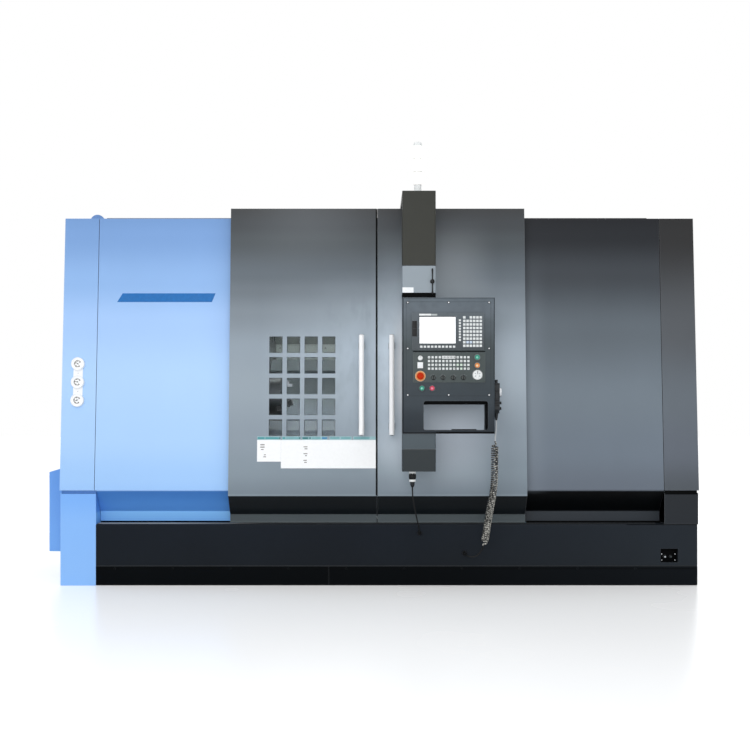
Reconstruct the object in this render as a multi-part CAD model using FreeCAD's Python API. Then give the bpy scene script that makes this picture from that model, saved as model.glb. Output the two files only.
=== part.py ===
import FreeCAD, Part
import math
import os

V = FreeCAD.Vector
os.makedirs("parts", exist_ok=True)

# Millimetres. X runs along the spindle, Y from the operator to the back, Z up from the floor.
# The origin is on the floor, in the middle between the two end covers.

# ---------------------------------------------------------------- enclosure
HALF_WIDTH = 1935.0        # outer face of each end cover
END_STRIP = 210.0          # front strip of each end cover
FRONT = -1000.0            # front of the base and of the panels' lower edge
REAR = 600.0               # back of the enclosure
PANEL_TOP = 2243.0
PANEL_EDGE = 575.0         # lower front edge of the panels
LEAN = math.radians(5.0)   # panels and doors lean back from their lower edge
PANEL_UNDERCUT = 126.0     # how far the panel runs back below its edge
PANEL_UNDERCUT_DROP = 134.0
SHEET = 4.0
FLANGE = 40.0
SEAM = 3.0                 # open joint between neighbouring panels

# ---------------------------------------------------------------- base
BASE_TOP = 370.0
BASE_LEFT = -HALF_WIDTH + 220.0
BASE_RIGHT = HALF_WIDTH - 10.0
KICK_HEIGHT = 120.0
KICK_THICK = 6.0
KICK_CLEAR = 3.0           # kick plates stay clear of the floor and of each other
KICK_JOINT = -306.0
TROUGH_LEFT = -650.0
TROUGH_RIGHT = 1450.0
TROUGH_FRONT = -930.0
TROUGH_BACK = -520.0
TROUGH_DEPTH = 170.0
NOTCH_WIDTH = 106.0
NOTCH_LEFT = BASE_RIGHT - NOTCH_WIDTH - 116.0
NOTCH_BOTTOM = 139.0
NOTCH_HEIGHT = 83.0
NOTCH_DEPTH = 40.0
COLUMN_WIDTH = 215.0
COLUMN_TOP = 560.0
COLUMN_INSET = 12.0        # shadow gap below the end cover
RIGHT_COLUMN_WIDTH = 205.0

# ---------------------------------------------------------------- doors
DOOR_PROUD = 70.0          # doors stand this far in front of the panels' edge
DOOR_EDGE = 548.0
DOOR_TOP = PANEL_TOP + 51.0
DOOR_UNDERCUT = 112.0
DOOR_UNDERCUT_DROP = 120.0
DOOR_BOTTOM = 378.0
DOOR_RETURN = 46.0         # depth of the doors' folded sides
DOOR_SPLIT = -13.0         # middle of the gap between the doors
DOOR_GAP = 6.0
LEFT_DOOR_WIDTH = 891.0
RIGHT_DOOR_WIDTH = 897.0
DOOR_OVERLAP = 47.0        # doors cover the edges of the opening
DOOR_HANGER = 6.0
WINDOW_COLUMNS = 4
WINDOW_ROWS = 5
WINDOW_LEFT = -666.0
WINDOW_BOTTOM = 906.0
PANE_WIDTH = 80.0
PANE_HEIGHT = 100.0
BAR_WIDTH = 26.7
BAR_HEIGHT = 25.5
GLASS = 6.0
GLASS_MARGIN = 24.0
TRACK_FRONT = -958.0
TRACK_WIDTH = 30.0
TRACK_HEIGHT = 5.0
TOP_RAIL_FRONT = -712.0
TOP_RAIL_THICK = 12.0
TOP_RAIL_HEIGHT = 25.0
ROLLER_RADIUS = 18.0
ROLLER_INSET = 130.0
TRACK_LEFT = -HALF_WIDTH + END_STRIP + 15.0
TRACK_RIGHT = HALF_WIDTH - END_STRIP - 45.0
HANDLE_LENGTH = 606.0
HANDLE_BOTTOM = 906.0
HANDLE_RADIUS = 16.0
HANDLE_STAND = 60.0        # tube axis in front of the door
LEFT_HANDLE_X = -107.0
RIGHT_HANDLE_X = 75.0
HANDLE_FOOT_INSET = 60.0
FOOT_HALF = 10.0
FOOT_FLANGE_HALF = 20.0
FOOT_FLANGE_THICK = 6.0

# ---------------------------------------------------------------- gauges, lug, side cover
GAUGE_X = -HALF_WIDTH + 99.0
GAUGE_HEIGHTS = (1342.0, 1231.0, 1120.0)
GAUGE_RADIUS = 40.0
GAUGE_DEPTH = 26.0
GAUGE_RIM = 5.0            # width of the rim and depth of the dial in it
GAUGE_PLATE_WIDTH = 64.0
GAUGE_PLATE_THICK = 4.0
GAUGE_PLATE_MARGIN = 44.0
LUG_X = -HALF_WIDTH + 146.0
LUG_Y = -625.0
LUG_WIDTH = 92.0
LUG_HEIGHT = 60.0
LUG_THICK = 20.0
LUG_HOLE = 15.0
SIDE_COVER_OUT = 140.0
SIDE_COVER_BOTTOM = 173.0
SIDE_COVER_TOP = 715.0
SIDE_COVER_DROP = 43.0
SIDE_COVER_FRONT = -700.0
SIDE_COVER_LENGTH = 800.0
LOUVRES = 8
LOUVRE_LENGTH = 260.0
LOUVRE_HEIGHT = 12.0
LOUVRE_PITCH = 34.0

# ---------------------------------------------------------------- cabinet at the back
CABINET_LEFT = -900.0
CABINET_WIDTH = 1400.0
CABINET_BOTTOM = 350.0
CABINET_HEIGHT = 1700.0
CABINET_DEPTH = 360.0
CABINET_DOOR_THICK = 25.0
DOOR_AIR = 0.5             # between the cabinet and its closed door
MOUNTING_PLATE = 12.0
DRIVES = 5
DRIVE_WIDTH = 150.0
DRIVE_GAP = 70.0
DRIVE_HEIGHT = 420.0
DRIVE_DEPTH = 190.0
HINGE_RADIUS = 8.0
HINGE_PIN_RADIUS = 4.0
HINGE_LENGTH = 90.0
HINGE_OFFSET = 9.0
SWITCH_RADIUS = 34.0
SWITCH_DEPTH = 14.0

# ---------------------------------------------------------------- machine inside
SPINDLE_Y = -480.0
SPINDLE_Z = 1150.0
CENTRE_HEIGHT = 340.0      # spindle axis over the slant bed's plane
SLANT = math.radians(45.0)
BED_LEFT = -1250.0
BED_RIGHT = 1500.0
BED_LOW = -330.0
BED_HIGH = 720.0
BED_BACK = 430.0
WAY_WIDTH = 90.0
WAY_HEIGHT = 30.0
TAIL_WAYS = (-230.0, 40.0)
SADDLE_WAYS = (140.0, 620.0)
HEAD_RIGHT = -760.0
HEAD_HALF = 230.0
HEAD_CREST = 230.0          # over the spindle axis
HEAD_CHAMFER = 110.0
SPINDLE_RADIUS = 70.0
RUNNING = 0.06             # radial clearance of turning fits
SLIDE_AIR = 0.3            # between sliding faces
FLANGE_RADIUS = 105.0
CHUCK_LEFT = -740.0
CHUCK_RADIUS = 157.5
CHUCK_LENGTH = 120.0
CHUCK_BORE = 41.0
JAW_COUNT = 3
JAW_WIDTH = 40.0
JAW_KEY = 30.0             # how deep a jaw sits in its slot
JAW_INNER = 62.0
JAW_OUTER = 150.0
JAW_STEP = 20.0
CYLINDER_RADIUS = 95.0
CYLINDER_LENGTH = 160.0
PULLEY_RADIUS = 130.0
PULLEY_LENGTH = 90.0
GUARD_THICK = 8.0
GUARD_HOLE = 118.0
GUARD_FRONT = -840.0
GUARD_BACK = 560.0
GUARD_TOP = 2200.0
SADDLE_LEFT = 270.0
SADDLE_LENGTH = 350.0
SADDLE_THICK = 60.0
CROSS_WAY_WIDTH = 46.0
CROSS_WAY_HEIGHT = 22.0
CROSS_WAY_INSET = 30.0
SLIDE_LOW = 290.0
SLIDE_LENGTH = 470.0
SLIDE_THICK = 63.0
SLIDE_INSET = 15.0
TURRET_ALONG = 520.0       # turret axis up the slant from the spindle's foot
TURRET_LEFT = 150.0
TURRET_THICK = 100.0
TURRET_RADIUS = 230.0
TURRET_SIDES = 12
TURRET_SHAFT = 40.0
HEAD_BOX_HALF = 140.0
HEAD_BOX_LENGTH = 310.0
MOTOR_RADIUS = 70.0
MOTOR_LENGTH = 140.0
TOOL_REACH = 290.0
TOOL_SHANK = 25.0
HOLDER_WIDTH = 70.0
HOLDER_REACH = 262.0
BAR_TOOL_LENGTH = 60.0
TAIL_LEFT = 900.0
TAIL_LENGTH = 350.0
TAIL_FOOT = 80.0
TAIL_NECK_HALF = 90.0
TAIL_BARREL = 112.0
QUILL_RADIUS = 55.0
QUILL_LENGTH = 330.0
QUILL_NOSE = 40.0
CENTRE_RADIUS = 38.0
CENTRE_BODY = 60.0
CENTRE_POINT = 40.0

# ---------------------------------------------------------------- pendant
ARM_X = 229.0              # middle of the arm and axis of the swivel
ARM_WIDTH = 194.0
ARM_Y = -1250.0
ARM_DEPTH = 150.0
ARM_TOP = PANEL_TOP + 89.0
ARM_BOTTOM = 1900.0
BEAM_THICK = 30.0
BEAM_END = -440.0
POST_DEPTH = 160.0
POST_INSET = 12.0
FOOT_PLATE = 12.0
FOOT_PLATE_MARGIN = 30.0
HOUSING_BOTTOM = 1741.0
SWIVEL_AIR = 0.3
PIVOT_RADIUS = 30.0
PIVOT_LENGTH = 60.0
NECK_RADIUS = 90.0
NECK_CHAMFER = 10.0
BOX_LEFT = 132.5
BOX_WIDTH = 535.0
BOX_TOP = 1713.0
BOX_HEIGHT = 788.0
BOX_DEPTH = 160.0
BOX_ROUND = 8.0
PASS_LEFT = 123.0          # through opening, measured on the box's face from its top left corner
PASS_TOP = 599.0
PASS_WIDTH = 372.0
PASS_HEIGHT = 169.0
PASS_ROUND = 14.0
DISPLAY_LEFT = 55.0
DISPLAY_TOP = 90.0
DISPLAY_WIDTH = 416.0
DISPLAY_HEIGHT = 213.0
DISPLAY_THICK = 8.0
SCREEN_LEFT = 97.0
SCREEN_TOP = 110.0
SCREEN_WIDTH = 212.0
SCREEN_HEIGHT = 158.0
SCREEN_SUNK = 3.0
KEY_RISE = 2.0
MDI_COLUMNS = 6
MDI_ROWS = 9
MDI_LEFT = 357.5
MDI_TOP = 115.7
MDI_PITCH_X = 19.0
MDI_PITCH_Y = 20.5
MDI_KEY_WIDTH = 14.5
MDI_KEY_HEIGHT = 14.0
SOFT_KEYS = 10
SOFT_LEFT = 109.0
SOFT_TOP = 285.0
SOFT_PITCH = 21.0
SOFT_KEY_WIDTH = 14.0
SOFT_KEY_HEIGHT = 12.0
SIDE_KEYS = 8
SIDE_KEY_X = 332.0
SIDE_KEY_TOP = 132.5
SIDE_KEY_PITCH = 16.3
SIDE_KEY_WIDTH = 12.0
SIDE_KEY_HEIGHT = 11.0
PANEL_LEFT = 61.0
PANEL_V = 319.0
PANEL_WIDTH = 418.0
PANEL_HEIGHT = 172.0
PANEL_THICK = 4.0
FUNCTION_COLUMNS = 12
FUNCTION_ROWS = 4
FUNCTION_LEFT = 154.0
FUNCTION_TOP = 346.0
FUNCTION_PITCH_X = 20.7
FUNCTION_PITCH_Y = 22.0
FUNCTION_KEY = 13.0
READOUT_FIRST = 4          # first and last column that the read-out takes in the top row
READOUT_LAST = 7
READOUT_HEIGHT = 16.0
PORT_U = 103.0
PORT_V = 392.0
PORT_WIDTH = 32.0
PORT_HEIGHT = 35.0
PORT_RISE = 5.0
STOP_U = 103.5
STOP_V = 455.0
STOP_RING_RADIUS = 30.0
STOP_RING_THICK = 5.0
STOP_CAP_RADIUS = 20.0
STOP_CAP_EDGE = 9.0        # height of the cap's straight rim
STOP_CAP_HEIGHT = 15.0
STOP_TRAVEL = 6.0
STOP_NECK_RADIUS = 12.0
STOP_NECK_SUNK = 4.0       # how far the neck stands in the ring when it is out
BUTTON_RADIUS = 14.0
BUTTON_THICK = 8.0
BUTTON_TRAVEL = 4.0
COLLAR_WALL = 3.0
COLLAR_HEIGHT = 7.5        # the cap still stands in its collar when it is out
BUTTON_AIR = 0.5
START_UV = (432.6, 346.0)
HOLD_UV = (432.6, 393.0)
POWER_ON_UV = (113.0, 525.0)
POWER_OFF_UV = (172.0, 525.0)
KEY_SWITCH_UV = (103.5, 350.5)
DIAL_UV = (434.0, 448.0)
DIAL_RADIUS = 28.0
DIAL_THICK = 16.0
KNOB_US = (179.0, 234.0, 293.0, 352.0)
KNOB_V = 464.0
KNOB_RADIUS = 13.0
KNOB_THICK = 16.0
TAIL_BOX_HEIGHT = 220.0
TAIL_BOX_UPPER = 89.0
TAIL_BOX_GROOVE = 3.0
CONNECTOR_X = 193.0
CONNECTOR_LENGTH = 95.0
CONNECTOR_RINGS = (        # radius and distance below the tail box
    (20.0, 0.0), (20.0, 19.0), (16.0, 19.0), (19.0, 24.0), (19.0, 46.0), (16.0, 51.0),
    (19.0, 51.0), (19.0, 63.0), (13.5, 63.0), (12.5, 83.0))
LEVER_X = 306.0
LEVER_Z = 1806.0
LEVER_LENGTH = 150.0
LEVER_BAR_RADIUS = 5.0
LEVER_HUB_RADIUS = 13.0
LEVER_HUB_LENGTH = 18.0

# ---------------------------------------------------------------- signal tower
TOWER_X = 224.0
TOWER_RADIUS = 24.0
TOWER_FOOT_RADIUS = 34.0
TOWER_FOOT = 8.0
TOWER_STEM = 45.0
LENS_HEIGHT = 78.0
LENS_COUNT = 3
LENS_GAP = 3.0
TOWER_CAP = 16.0

# ---------------------------------------------------------------- hand wheel unit and cords
WHEEL_UNIT_THICK = 32.0
WHEEL_UNIT_WIDTH = 92.0
WHEEL_UNIT_TOP = 1219.0
WHEEL_UNIT_BOTTOM = 1042.0
WHEEL_Z = 1165.0
WHEEL_RADIUS = 30.0
WHEEL_THICK = 12.0
UNIT_KNOB_RADIUS = 9.0
UNIT_KNOB_THICK = 12.0
AXIS_KNOB_Z = 1103.0
RATE_KNOB_Z = 1071.0
UNIT_KNOB_Y = ARM_Y - 12.0
CORD_DIAMETER = 9.0
CURL_OUTER = 44.0
CURLS = 24
CURL_TOP = V(-8.5, 4.0, -180.0)        # from where the cord leaves the hand wheel unit
CURL_PULL = V(0.0, 24.0, -215.0)       # the coil's axis leaves its top this way
CURL_END = V(112.0, -112.0, 65.0)      # from the cord's gland
CURL_END_PULL = V(-22.0, 55.0, -190.0)
CORD_END_RUN = 42.0        # straight stretch below the unit and below the connector
COIL_END_RUN = 30.0
LEAD_DIAMETER = 8.0
GLAND_RADIUS = 14.0
GLAND_LENGTH = 30.0
FITTING_PLACES = ((0.28, 11.0), (0.62, 9.0))   # share of the notch's width, and radius
FITTING_LENGTH = 24.0
CORD_GLAND = V(515.0, FRONT, 197.0)
LEAD_GLAND = V(243.0, FRONT, 318.0)
MAX_RUN_FACTOR = 0.45
CORD_SIDES = 4             # the curled cord has flat sides
LEAD_SIDES = 6

COS = math.cos(SLANT)
SIN = math.sin(SLANT)


# ================================================================ helpers
def save(name, shape):
    """Write one piece, as one solid or as a group of separate solids."""
    solids = shape.Solids
    shape = solids[0] if len(solids) == 1 else Part.makeCompound(solids)
    if not shape.isValid():
        print("not valid:", name)
    shape.exportStep("parts/" + name + ".step")


def box(x0, x1, y0, y1, z0, z1):
    return Part.makeBox(x1 - x0, y1 - y0, z1 - z0, V(x0, y0, z0))


def prism(points, along):
    """Extrude a closed outline of 3-D points."""
    wire = Part.makePolygon(points + [points[0]])
    return Part.Face(wire).extrude(along)


def prism_x(outline, x0, x1):
    """Extrude an outline of (y, z) pairs from x0 to x1."""
    return prism([V(x0, y, z) for y, z in outline], V(x1 - x0, 0, 0))


def prism_y(outline, y0, y1):
    """Extrude an outline of (x, z) pairs from y0 to y1."""
    return prism([V(x, y0, z) for x, z in outline], V(0, y1 - y0, 0))


def rod(start, along, radius):
    """A round bar from a point along a vector of its own length."""
    return Part.makeCylinder(radius, along.Length, start, along)


def joined(shapes):
    first = shapes[0]
    if len(shapes) == 1:
        return first
    return first.fuse(shapes[1:]).removeSplitter()


def turned(profile, centre, axis):
    """Revolve (radius, distance) pairs about an axis that starts at centre."""
    side = V(0, 0, 1).cross(axis) if abs(axis.z) < 0.9 else V(1, 0, 0)
    side.normalize()
    points = [centre + side * r + axis * h for r, h in profile]
    face = Part.Face(Part.makePolygon(points + [points[0]]))
    return face.revolve(centre, axis, 360)


def faceted(profile, centre, axis, sides=16):
    """Like turned, but with flat sides, for small parts. The profile's ends are flat."""
    side = V(0, 0, 1).cross(axis) if abs(axis.z) < 0.9 else V(1, 0, 0)
    side.normalize()
    other = axis.cross(side)
    rings = []
    for r, h in profile:
        ring = []
        for corner in range(sides):
            angle = 2 * math.pi * (corner + 0.5) / sides
            ring.append(centre + axis * h + (side * math.cos(angle) + other * math.sin(angle)) * r)
        rings.append(ring)
    ends = [Part.Face(Part.makePolygon(ring + [ring[0]])) for ring in (rings[0], rings[-1])]
    faces = list(ends)
    for low, high in zip(rings, rings[1:]):
        for corner in range(sides):
            after = (corner + 1) % sides
            quad = [low[corner], low[after], high[after], high[corner]]
            faces.append(Part.Face(Part.makePolygon(quad + [quad[0]])))
    solid = Part.makeSolid(Part.makeShell(faces))
    if solid.Volume < 0:
        solid.reverse()
    return solid


def offset_line(points, distance):
    """Shift an open line of (y, z) pairs sideways to its left, with mitred corners."""
    normals = []
    for (a, b), (c, d) in zip(points, points[1:]):
        length = math.hypot(c - a, d - b)
        normals.append((-(d - b) / length, (c - a) / length))
    shifted = []
    for index, (a, b) in enumerate(points):
        before = normals[max(index - 1, 0)]
        after = normals[min(index, len(normals) - 1)]
        scale = distance / (1.0 + before[0] * after[0] + before[1] * after[1])
        shifted.append((a + (before[0] + after[0]) * scale, b + (before[1] + after[1]) * scale))
    return shifted


def bent_sheet(points, thickness, x0, x1):
    """A folded sheet whose outer face follows the line of (y, z) pairs."""
    return prism_x(points + offset_line(points, thickness)[::-1], x0, x1)


def panel_y(z):
    return FRONT + (z - PANEL_EDGE) * math.tan(LEAN)


def door_y(z):
    return FRONT - DOOR_PROUD + (z - DOOR_EDGE) * math.tan(LEAN)


def slant(s, h):
    """Place on the slant: s up the slope from the spindle's foot, h away from the bed."""
    foot_y = SPINDLE_Y + CENTRE_HEIGHT * SIN
    foot_z = SPINDLE_Z - CENTRE_HEIGHT * COS
    return (foot_y + COS * s - SIN * h, foot_z + SIN * s + COS * h)


def slant_box(x0, x1, s0, s1, h0, h1):
    return prism_x([slant(s0, h0), slant(s1, h0), slant(s1, h1), slant(s0, h1)], x0, x1)


# ================================================================ base and covers
def make_base():
    base = box(BASE_LEFT, BASE_RIGHT, FRONT, REAR, 0, BASE_TOP)
    kick_recess = box(BASE_LEFT, BASE_RIGHT, FRONT, FRONT + KICK_THICK, 0, KICK_HEIGHT)
    trough = box(TROUGH_LEFT, TROUGH_RIGHT, TROUGH_FRONT, TROUGH_BACK, BASE_TOP - TROUGH_DEPTH, BASE_TOP)
    notch = box(
        NOTCH_LEFT, NOTCH_LEFT + NOTCH_WIDTH, FRONT, FRONT + NOTCH_DEPTH,
        NOTCH_BOTTOM, NOTCH_BOTTOM + NOTCH_HEIGHT)
    save("base_frame", base.cut([kick_recess, trough, notch]))

    plates = []
    for x0, x1 in ((BASE_LEFT, KICK_JOINT - KICK_CLEAR / 2), (KICK_JOINT + KICK_CLEAR / 2, BASE_RIGHT)):
        plates.append(box(x0, x1, FRONT, FRONT + KICK_THICK, KICK_CLEAR, KICK_HEIGHT - KICK_CLEAR))
    save("kick_plates", Part.makeCompound(plates))


def column_cover(x0, x1, bottom, open_left):
    """A folded cover, open on the side that faces the machine, with an inset ledge on top."""
    body = box(x0, x1, FRONT, REAR, bottom, COLUMN_TOP)
    inner0 = x0 if open_left else x0 + SHEET
    inner1 = x1 - SHEET if open_left else x1
    hollow = box(inner0, inner1, FRONT + SHEET, REAR - SHEET, bottom + SHEET, COLUMN_TOP - SHEET)
    ledge = box(
        x0 + COLUMN_INSET, x1 - COLUMN_INSET, FRONT + COLUMN_INSET, REAR - COLUMN_INSET,
        COLUMN_TOP - SHEET, PANEL_EDGE)
    return joined([body.cut(hollow), ledge])


def make_column_covers():
    left = column_cover(BASE_LEFT - COLUMN_WIDTH, BASE_LEFT, 0, False)
    right_edge = HALF_WIDTH - (HALF_WIDTH + BASE_LEFT - COLUMN_WIDTH)
    right = column_cover(right_edge - RIGHT_COLUMN_WIDTH, right_edge, BASE_TOP, True)
    save("column_covers", Part.makeCompound([left, right]))


def panel_line():
    """The front panels' face from top to bottom: lean, undercut, upright strip."""
    strip_y = FRONT + PANEL_UNDERCUT
    return [
        (panel_y(PANEL_TOP), PANEL_TOP), (FRONT, PANEL_EDGE),
        (strip_y, PANEL_EDGE - PANEL_UNDERCUT_DROP), (strip_y, BASE_TOP)]


def opening_edges():
    left = DOOR_SPLIT - DOOR_GAP / 2 - LEFT_DOOR_WIDTH + DOOR_OVERLAP
    right = DOOR_SPLIT + DOOR_GAP / 2 + RIGHT_DOOR_WIDTH - DOOR_OVERLAP
    return left, right


def front_panel(x0, x1):
    """Folded panel whose side returns stop below the roof panel."""
    line = panel_line()
    skin = bent_sheet(line, SHEET, x0, x1)
    low_top = PANEL_TOP - FLANGE
    side_line = [(panel_y(low_top), low_top)] + line[1:]
    sides = [bent_sheet(side_line, FLANGE, x, x + SHEET) for x in (x0, x1 - SHEET)]
    return joined([skin] + sides)


def beside_column():
    """The space that the left column takes below the panels' edge."""
    return box(
        -HALF_WIDTH, BASE_LEFT + SEAM / 2, FRONT, REAR, BASE_TOP, PANEL_EDGE)


def make_front_panels():
    opening_left, opening_right = opening_edges()
    seam_x = HALF_WIDTH - END_STRIP
    lower_return = bent_sheet(
        panel_line()[1:], FLANGE, BASE_LEFT + SEAM / 2, BASE_LEFT + SEAM / 2 + SHEET)
    left = front_panel(-seam_x + SEAM / 2, opening_left).cut(beside_column())
    save("left_front_panel", joined([left, lower_return]))
    save("right_front_panel", front_panel(opening_right, seam_x - SEAM / 2))


def end_cover(x_outer, x_inner):
    """An end of the enclosure: side wall and front strip in one folded cover."""
    outline = [
        (FRONT, PANEL_EDGE), (REAR, PANEL_EDGE),
        (REAR, PANEL_TOP), (panel_y(PANEL_TOP), PANEL_TOP)]
    inner_slope = SHEET / math.cos(LEAN)
    low, high = PANEL_EDGE + SHEET, PANEL_TOP - SHEET
    hollow = [
        (panel_y(low) + inner_slope, low), (REAR - SHEET, low),
        (REAR - SHEET, high), (panel_y(high) + inner_slope, high)]
    side = 1 if x_inner > x_outer else -1
    return prism_x(outline, x_outer, x_inner).cut(prism_x(hollow, x_outer + side * SHEET, x_inner))


def lifting_lug():
    foot = box(
        LUG_X - LUG_WIDTH / 2, LUG_X + LUG_WIDTH / 2, LUG_Y, LUG_Y + LUG_THICK,
        PANEL_TOP, PANEL_TOP + LUG_HEIGHT - LUG_WIDTH / 2)
    along = V(0, LUG_THICK, 0)
    head_at = V(LUG_X, LUG_Y, PANEL_TOP + LUG_HEIGHT - LUG_WIDTH / 2)
    head = rod(head_at, along, LUG_WIDTH / 2).common(
        box(LUG_X - LUG_WIDTH, LUG_X + LUG_WIDTH, LUG_Y, LUG_Y + LUG_THICK,
            PANEL_TOP, PANEL_TOP + LUG_HEIGHT))
    return joined([foot, head]).cut(rod(head_at, along, LUG_HOLE))


def make_end_covers():
    inner = HALF_WIDTH - END_STRIP + SEAM / 2
    save("left_end_cover", joined([end_cover(-HALF_WIDTH, -inner), lifting_lug()]))
    save("right_end_cover", end_cover(HALF_WIDTH, inner))


def make_roof():
    inner = HALF_WIDTH - END_STRIP - SEAM / 2
    front_top = panel_y(PANEL_TOP) + SHEET / math.cos(LEAN)
    front_low = panel_y(PANEL_TOP - FLANGE) + SHEET / math.cos(LEAN)
    outline = [
        (front_top, PANEL_TOP), (front_low, PANEL_TOP - FLANGE),
        (REAR - SHEET, PANEL_TOP - FLANGE), (REAR - SHEET, PANEL_TOP)]
    body = prism_x(outline, -inner, inner)
    hollow = box(
        -inner + SHEET, inner - SHEET, front_top + 2 * SHEET, REAR - 2 * SHEET,
        PANEL_TOP - FLANGE, PANEL_TOP - SHEET)
    save("roof_panel", body.cut(hollow))

    skin = box(-inner, inner, REAR - SHEET, REAR, BASE_TOP, PANEL_TOP)
    ribs = []
    for x in (-inner, -inner / 2, 0, inner / 2, inner - SHEET):
        ribs.append(box(x, x + SHEET, REAR - FLANGE, REAR - SHEET, BASE_TOP, PANEL_TOP - FLANGE))
    save("rear_panel", joined([skin] + ribs).cut(beside_column()))


def make_side_cover():
    """Motor cover on the left side, open towards the machine, with louvres in its outer wall."""
    outer = -HALF_WIDTH - SIDE_COVER_OUT
    back = SIDE_COVER_FRONT + SIDE_COVER_LENGTH
    shoulder = SIDE_COVER_TOP - SIDE_COVER_DROP
    shell = prism_y(
        [(-HALF_WIDTH, SIDE_COVER_BOTTOM), (outer, SIDE_COVER_BOTTOM),
         (outer, shoulder), (-HALF_WIDTH, SIDE_COVER_TOP)], SIDE_COVER_FRONT, back)
    hollow = prism_y(
        [(-HALF_WIDTH, SIDE_COVER_BOTTOM + SHEET), (outer + SHEET, SIDE_COVER_BOTTOM + SHEET),
         (outer + SHEET, shoulder - SHEET), (-HALF_WIDTH, SIDE_COVER_TOP - SHEET)],
        SIDE_COVER_FRONT + SHEET, back - SHEET)
    middle_y = (SIDE_COVER_FRONT + back) / 2
    first = (SIDE_COVER_BOTTOM + shoulder - LOUVRE_PITCH * (LOUVRES - 1) - LOUVRE_HEIGHT) / 2
    slots = []
    for row in range(LOUVRES):
        z = first + row * LOUVRE_PITCH
        slots.append(box(
            outer, outer + SHEET, middle_y - LOUVRE_LENGTH / 2, middle_y + LOUVRE_LENGTH / 2,
            z, z + LOUVRE_HEIGHT))
    save("motor_side_cover", shell.cut([hollow] + slots))


def make_gauges():
    """Three round gauges on one upright plate, square to the leaning strip."""
    low = min(GAUGE_HEIGHTS) - GAUGE_PLATE_MARGIN
    high = max(GAUGE_HEIGHTS) + GAUGE_PLATE_MARGIN
    face = [(panel_y(high), high), (panel_y(low), low)]
    plate = bent_sheet(
        offset_line(face, -GAUGE_PLATE_THICK), GAUGE_PLATE_THICK,
        GAUGE_X - GAUGE_PLATE_WIDTH / 2, GAUGE_X + GAUGE_PLATE_WIDTH / 2)
    outward = V(0, -math.cos(LEAN), math.sin(LEAN))
    cases = []
    for z in GAUGE_HEIGHTS:
        start = V(GAUGE_X, panel_y(z), z)
        lip, sunk = GAUGE_RADIUS - GAUGE_RIM, GAUGE_DEPTH - GAUGE_RIM
        cases.append(faceted(
            [(GAUGE_RADIUS, 0), (GAUGE_RADIUS, GAUGE_DEPTH), (lip, GAUGE_DEPTH), (lip, sunk)],
            start, outward, 24))
    save("pressure_gauges", joined([plate] + cases))


# ================================================================ doors
def door_line():
    skirt_y = FRONT - DOOR_PROUD + DOOR_UNDERCUT
    return [
        (door_y(DOOR_TOP), DOOR_TOP), (FRONT - DOOR_PROUD, DOOR_EDGE),
        (skirt_y, DOOR_EDGE - DOOR_UNDERCUT_DROP), (skirt_y, DOOR_BOTTOM)]


def door_shell(x0, x1):
    """Folded door: leaning face, undercut and skirt, side returns, hanger over the roof's edge."""
    line = door_line()
    skin = bent_sheet(line, SHEET, x0, x1)
    sides = [bent_sheet(line, DOOR_RETURN, x, x + SHEET) for x in (x0, x1 - SHEET)]
    roller_y = TOP_RAIL_FRONT - SLIDE_AIR - ROLLER_RADIUS
    hanger_outline = [
        (door_y(DOOR_TOP), DOOR_TOP), (door_y(DOOR_TOP - DOOR_HANGER), DOOR_TOP - DOOR_HANGER),
        (roller_y + ROLLER_RADIUS, DOOR_TOP - DOOR_HANGER), (roller_y + ROLLER_RADIUS, DOOR_TOP)]
    hanger = prism_x(hanger_outline, x0, x1)
    rollers = []
    roller_low = PANEL_TOP + 2 * SLIDE_AIR + SHEET
    for x in (x0 + ROLLER_INSET, x1 - ROLLER_INSET):
        height = V(0, 0, DOOR_TOP - DOOR_HANGER / 2 - roller_low)
        rollers.append(rod(V(x, roller_y, roller_low), height, ROLLER_RADIUS))
    return joined([skin] + sides + [hanger] + rollers)


def window_cuts():
    cuts = []
    for column in range(WINDOW_COLUMNS):
        for row in range(WINDOW_ROWS):
            x = WINDOW_LEFT + column * (PANE_WIDTH + BAR_WIDTH)
            z = WINDOW_BOTTOM + row * (PANE_HEIGHT + BAR_HEIGHT)
            front = door_y(z) - SHEET
            back = door_y(z + PANE_HEIGHT) + 2 * SHEET
            cuts.append(box(x, x + PANE_WIDTH, front, back, z, z + PANE_HEIGHT))
    return cuts


def window_size():
    width = WINDOW_COLUMNS * PANE_WIDTH + (WINDOW_COLUMNS - 1) * BAR_WIDTH
    height = WINDOW_ROWS * PANE_HEIGHT + (WINDOW_ROWS - 1) * BAR_HEIGHT
    return width, height


def handle(x):
    """Round bar on two feet with flanges, parallel to the leaning door."""
    up = V(0, math.sin(LEAN), math.cos(LEAN))
    outward = V(0, -math.cos(LEAN), math.sin(LEAN))
    on_door = V(x, door_y(HANDLE_BOTTOM), HANDLE_BOTTOM)
    chamfer = HANDLE_RADIUS / 4
    bar = turned(
        [(0, 0), (HANDLE_RADIUS - chamfer, 0), (HANDLE_RADIUS, chamfer),
         (HANDLE_RADIUS, HANDLE_LENGTH - chamfer), (HANDLE_RADIUS - chamfer, HANDLE_LENGTH),
         (0, HANDLE_LENGTH)], on_door + outward * HANDLE_STAND, up)
    feet = []
    for along in (HANDLE_FOOT_INSET, HANDLE_LENGTH - HANDLE_FOOT_INSET):
        for half, thick in ((FOOT_HALF, HANDLE_STAND), (FOOT_FLANGE_HALF, FOOT_FLANGE_THICK)):
            corner = on_door + up * (along - half) - V(half, 0, 0)
            across, along_bar = V(2 * half, 0, 0), up * (2 * half)
            outline = [corner, corner + across, corner + across + along_bar, corner + along_bar]
            feet.append(prism(outline, outward * thick))
    return joined([bar] + feet)


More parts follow.
